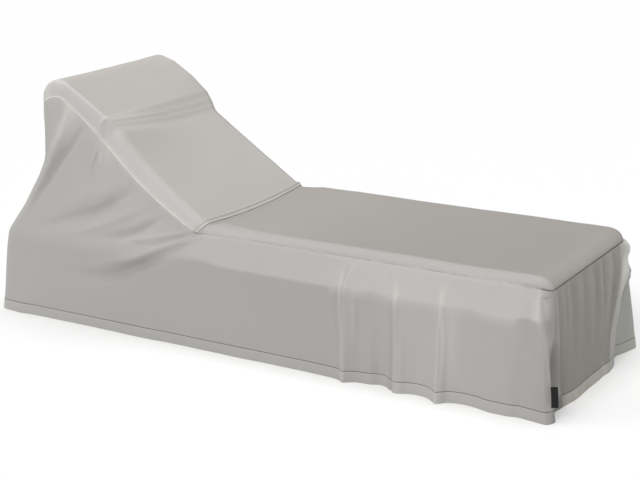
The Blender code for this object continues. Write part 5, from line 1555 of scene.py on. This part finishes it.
def sew(name, lines, thread, pitch=0.0046, length=0.0034, width=0.0009):
    """Stitches along lines, each a list of points with the outward direction at each, as one plain mesh."""
    points, edges, outward = [], [], []
    for line, directions, closed in lines:
        start = len(points)
        points += place(line + directions * THREAD_SIT).tolist()
        outward += directions.tolist()
        edges += [(start + k, start + k + 1) for k in range(len(line) - 1)]
        if closed:
            edges.append((len(points) - 1, start))
    guide = bpy.data.meshes.new(name + " line")
    guide.from_pydata(points, edges, [])
    guide.attributes.new("outward", "FLOAT_VECTOR", "POINT").data.foreach_set("vector", np.array(outward).ravel())
    carrier = stand(name + " line", guide)
    modifier = carrier.modifiers.new("stitches", "NODES")
    modifier.node_group = STITCHES
    wanted = {"Pitch": pitch, "Stitch length": length, "Thread width": width, "Thread": thread}
    for item in STITCHES.interface.items_tree:
        if item.in_out == "INPUT" and item.name in wanted:
            modifier[item.identifier] = wanted[item.name]
    made = carrier.evaluated_get(bpy.context.evaluated_depsgraph_get())
    mesh = bpy.data.meshes.new_from_object(made)
    bpy.data.objects.remove(carrier)
    mesh.name = name
    print(name, "has", len(mesh.polygons), "faces")
    return stand(name, mesh)


# %% [markdown]
# ### Where the stitches run
#
# Along the back the seam carries one line of pale thread. Round the seat its thread is the colour of the cloth,
# and across the foot it is dark. The hem is held by one line of dark thread all round, just below the top of the
# doubled cloth. The dark thread is drawn near black: partly its own colour and partly painted shade of the
# grooves it lies in.

# %% Stitch lines
def row_at(grid, normals, distance, value):
    """The line over a grid where the distance from its edge has this value, with the normals there."""
    points, directions = [], []
    for j in range(grid.shape[1]):
        k = int(np.searchsorted(distance[:, j], value))
        k = min(max(k, 1), len(distance) - 1)
        part = (value - distance[k - 1, j]) / (distance[k, j] - distance[k - 1, j])
        points.append(grid[k - 1, j] * (1 - part) + grid[k, j] * part)
        directions.append(unit(normals[k - 1, j] * (1 - part) + normals[k, j] * part))
    return np.array(points), np.array(directions)


SEAM_THREAD = 0.0002
THREADS = {
    "pale_thread": (0.70, 0.69, 0.66),
    "cloth_thread": (0.62, 0.61, 0.58),
    # Near black: partly the thread's own colour, partly painted shade of the grooves at the foot seam and the hem.
    "dark_thread": (0.045, 0.042, 0.038),
}
threads = {name: thread_material(name, colour) for name, colour in THREADS.items()}

below_seam, below_normals = row_at(skirt_outer, skirt_normals, skirt_down, SEAM_THREAD)
hem_points, hem_normals = row_at(skirt_outer, skirt_normals, -height, -HEM_STITCH_Z)
seam_lines = []
for grid, normals, run in (
    (top_outer, top_normals, top_across),
    (top_outer[:, ::-1], top_normals[:, ::-1], (top_across[:, -1:] - top_across)[:, ::-1]),
):
    seam_lines.append(row_at(grid.transpose(1, 0, 2), normals.transpose(1, 0, 2), run.T, SEAM_THREAD))
on_back = slice(EDGE_STEPS, FINE_CREASE - 4)
on_seat = slice(FINE_CREASE + 4, -EDGE_STEPS)
on_foot = slice(column_at("foot", -0.304), column_at("foot", 0.304) + 1)
seam_thread = {"pitch": 0.0038, "length": 0.0037}
all_stitches = [
    sew(
        "seam_stitches",
        [(line[on_back], out[on_back], False) for line, out in seam_lines],
        threads["pale_thread"],
        width=0.0016,
        **seam_thread,
    ),
    sew(
        "seat_stitches",
        [(line[on_seat], out[on_seat], False) for line, out in seam_lines],
        threads["cloth_thread"],
        width=0.0015,
        **seam_thread,
    ),
    sew("foot_stitches", [(below_seam[on_foot], below_normals[on_foot], False)], threads["dark_thread"]),
    sew("hem_stitches", [(hem_points, hem_normals, True)], threads["dark_thread"], width=0.0012),
]

# %% [markdown]
# ## The tab at the near corner of the foot
#
# A small black woven tab is sewn in at this corner. It carries no words here. It is a folded strip, so its end is
# a soft loop and its edges are thicker than its middle. It hangs flat on the corner, and we read its place from
# the skirt that it lies on.

# %% Tab sizes and cloth
TAB_WIDTH = 0.022
TAB_HEIGHT = 0.064
TAB_CLOTH = 0.0014
TAB_TOP_Z = 0.116
TAB_GAP = 0.0004
TAB_SHIFT = 0.0105
TAB_EDGE = 0.0003
TAB_CUP = 0.0006
TAB_ROWS = 25
TAB_COLUMNS = 9
RIB_PITCH = 0.0011
TAB_OUT = unit(np.array([0.5, -0.86, 0.0]))
TAB_ACROSS = unit(np.array([0.86, 0.5, 0.0]))


def tab_cloth():
    book = Book("tab_cloth_fine")
    uv = book.node("ShaderNodeUVMap", {"uv_map": "cloth"})
    v = book.node("ShaderNodeSeparateXYZ", None, {0: uv}, 1)
    rib = book.math("SINE", v * (2 * math.pi / RIB_PITCH))
    fluff = book.noise(uv, 700.0)
    tint = book.blend(fluff, (0.0015, 0.0015, 0.0016), (0.005, 0.005, 0.005))
    bump = book.bump(0.5, 0.0003, rib * 0.5 + fluff)
    book.set(Base_Color=tint, Roughness=0.80, Metallic=0.0, Normal=bump, Sheen_Weight=0.03)
    return book.material


cloths["label_tab"] = tab_cloth()

# %% The tab
def tab_grid():
    near_corner = [
        k
        for k in range(total)
        if seam[k, 0] > 0.9 and seam[k, 1] < 0 and math.radians(5) < turns[k] < math.radians(85)
    ]
    middle = near_corner[len(near_corner) // 2]
    columns = range(min(near_corner) - 3, max(near_corner) + 4)
    order = np.argsort(skirt_outer[:, middle, 2])
    rows = []
    for share in np.linspace(0, 1, TAB_ROWS):
        z = TAB_TOP_Z - TAB_HEIGHT * share
        spots = np.array([
            [float(np.interp(z, skirt_outer[order, k, 2], skirt_outer[order, k, axis])) for axis in (0, 1)] + [z]
            for k in columns
        ])
        centre = spots[list(columns).index(middle)]
        lift = float((spots * [1, 1, 0] @ TAB_OUT).max() - (centre * [1, 1, 0]) @ TAB_OUT)
        places = np.linspace(-0.5, 0.5, TAB_COLUMNS)
        thick = TAB_EDGE * (np.abs(places * 2) ** 6 + bell(share - 0.985, 0.03))
        cup = TAB_CUP * (1 - (2 * places) ** 2)
        out = lift + TAB_GAP + TAB_CLOTH + thick - cup + TAB_CUP
        shift = TAB_SHIFT + TAB_WIDTH * places
        rows.append(centre + TAB_OUT * out[:, None] + TAB_ACROSS * shift[:, None])
    return np.array(rows)


tab = tab_grid()
tab_normals = np.broadcast_to(TAB_OUT, tab.shape)
tab_runs = np.linspace(0, TAB_HEIGHT, TAB_ROWS), np.linspace(0, TAB_WIDTH, TAB_COLUMNS)
tab_uv = np.stack(np.meshgrid(*tab_runs, indexing="ij"), axis=-1)
pieces["label_tab"] = cloth_sheet("label_tab", tab, tab_normals, (), TAB_CLOTH, tab_uv, {})

# %% [markdown]
# ## Riding and replacing
#
# Every piece rides on the one body and stands for its CAD node, which is hidden.


def cloth_area(piece):
    """Half the area of a closed sheet: the area of the cloth itself."""
    return sum(face.area for face in piece.data.polygons) / 2


for name, piece in pieces.items():
    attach(piece, "root")
    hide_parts(name)
    print(name, "cloth area", round(cloth_area(piece), 4), "m2")
for stitches in all_stitches:
    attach(stitches, "root")

# %% The sheets' cut sizes
CUT_SIZES = {
    "seat_panel": ((0.70, 1.29), None),
    "back_panel": ((0.76, 0.91), None),
    "crease_tuck": ((0.03, 0.72), None),
    "near_side_panel": ((0.83, 2.20), 1.16),
    "far_side_panel": ((0.83, 2.20), 1.18),
    "foot_end_panel": ((0.41, 0.52), None),
    "head_end_panel": ((0.87, 0.60), None),
    "label_tab": ((0.022, 0.064), None),
}
for name, (flat, area) in CUT_SIZES.items():
    own_area = cloth_area(pieces[name])
    print(name, "cut", flat, "area share", round(own_area / (flat[0] * flat[1]), 3))

# %% [markdown]
# ## Floor, light and camera
#
# The floor and the surroundings are plain and pale. The light is soft: five suns as wide as studio panels, the
# strongest from above. The camera stands at the near side, towards the foot, and looks down on the cover a
# little.

# %% Floor
FLOOR_SIZE = 80.0
floor_z = float(place(np.zeros(3))[2])
floor_mesh = bpy.data.meshes.new("floor")
half = FLOOR_SIZE / 2
floor_mesh.from_pydata(
    [(-half, -half, floor_z), (half, -half, floor_z), (half, half, floor_z), (-half, half, floor_z)],
    [],
    [(0, 1, 2, 3)],
)
floor = stand("floor", floor_mesh)
paint = Book("floor_paint")
paint.set(Base_Color=(0.90, 0.90, 0.90, 1), Roughness=0.95, Metallic=0.0)
floor_mesh.materials.append(paint.material)

# %% Light
def direction_angles(direction):
    """The turn that points a light or camera, which looks along its own -z, in a direction."""
    x, y, z = direction
    return (math.acos(-z), 0.0, math.atan2(y, x) - math.pi / 2)


def soft_light(name, towards, strength, spread):
    """Soft light from one direction, as from a wide panel far off: spread is its width in degrees."""
    light = bpy.data.lights.new(name, "SUN")
    light.energy = strength
    light.angle = math.radians(spread)
    lamp = stand(name, light)
    lamp.location = (unit(np.array(towards)) * 6).tolist()
    lamp.rotation_euler = direction_angles(-unit(np.array(towards)))


LIGHTS = (
    ("front panel", (0.30, -0.65, 0.70), 0.67, 28.0),
    ("left panel", (-0.05, -0.80, 0.60), 0.73, 28.0),
    ("head panel", (-0.80, -0.45, 0.45), 0.54, 28.0),
    ("overhead panel", (0.0, 0.1, 1.0), 1.82, 50.0),
    ("far panel", (-0.2, 0.9, 0.5), 0.12, 28.0),
)
SURROUNDINGS = 0.165
for row in LIGHTS:
    soft_light(*row)
world = bpy.data.worlds.new("pale surroundings")
world.use_nodes = True
background = world.node_tree.nodes["Background"].inputs
background["Color"].default_value = (1.0, 1.0, 1.0, 1)
background["Strength"].default_value = SURROUNDINGS
bpy.context.scene.world = world
bpy.context.scene.view_settings.view_transform = "Standard"

# %% Camera
SENSOR_WIDTH = 36.0
LENS = 87.43
CAMERA_AT = np.array([2.3069, -4.6061, 1.4534])
CAMERA_TARGET = np.array([-0.3638, 0.0, -0.0954])
camera_data = bpy.data.cameras.new("camera")
camera_data.sensor_width = SENSOR_WIDTH
camera_data.lens = LENS
camera = stand("camera", camera_data)
camera.location = CAMERA_AT.tolist()
camera.rotation_euler = direction_angles(unit(CAMERA_TARGET - CAMERA_AT))
bpy.context.scene.camera = camera
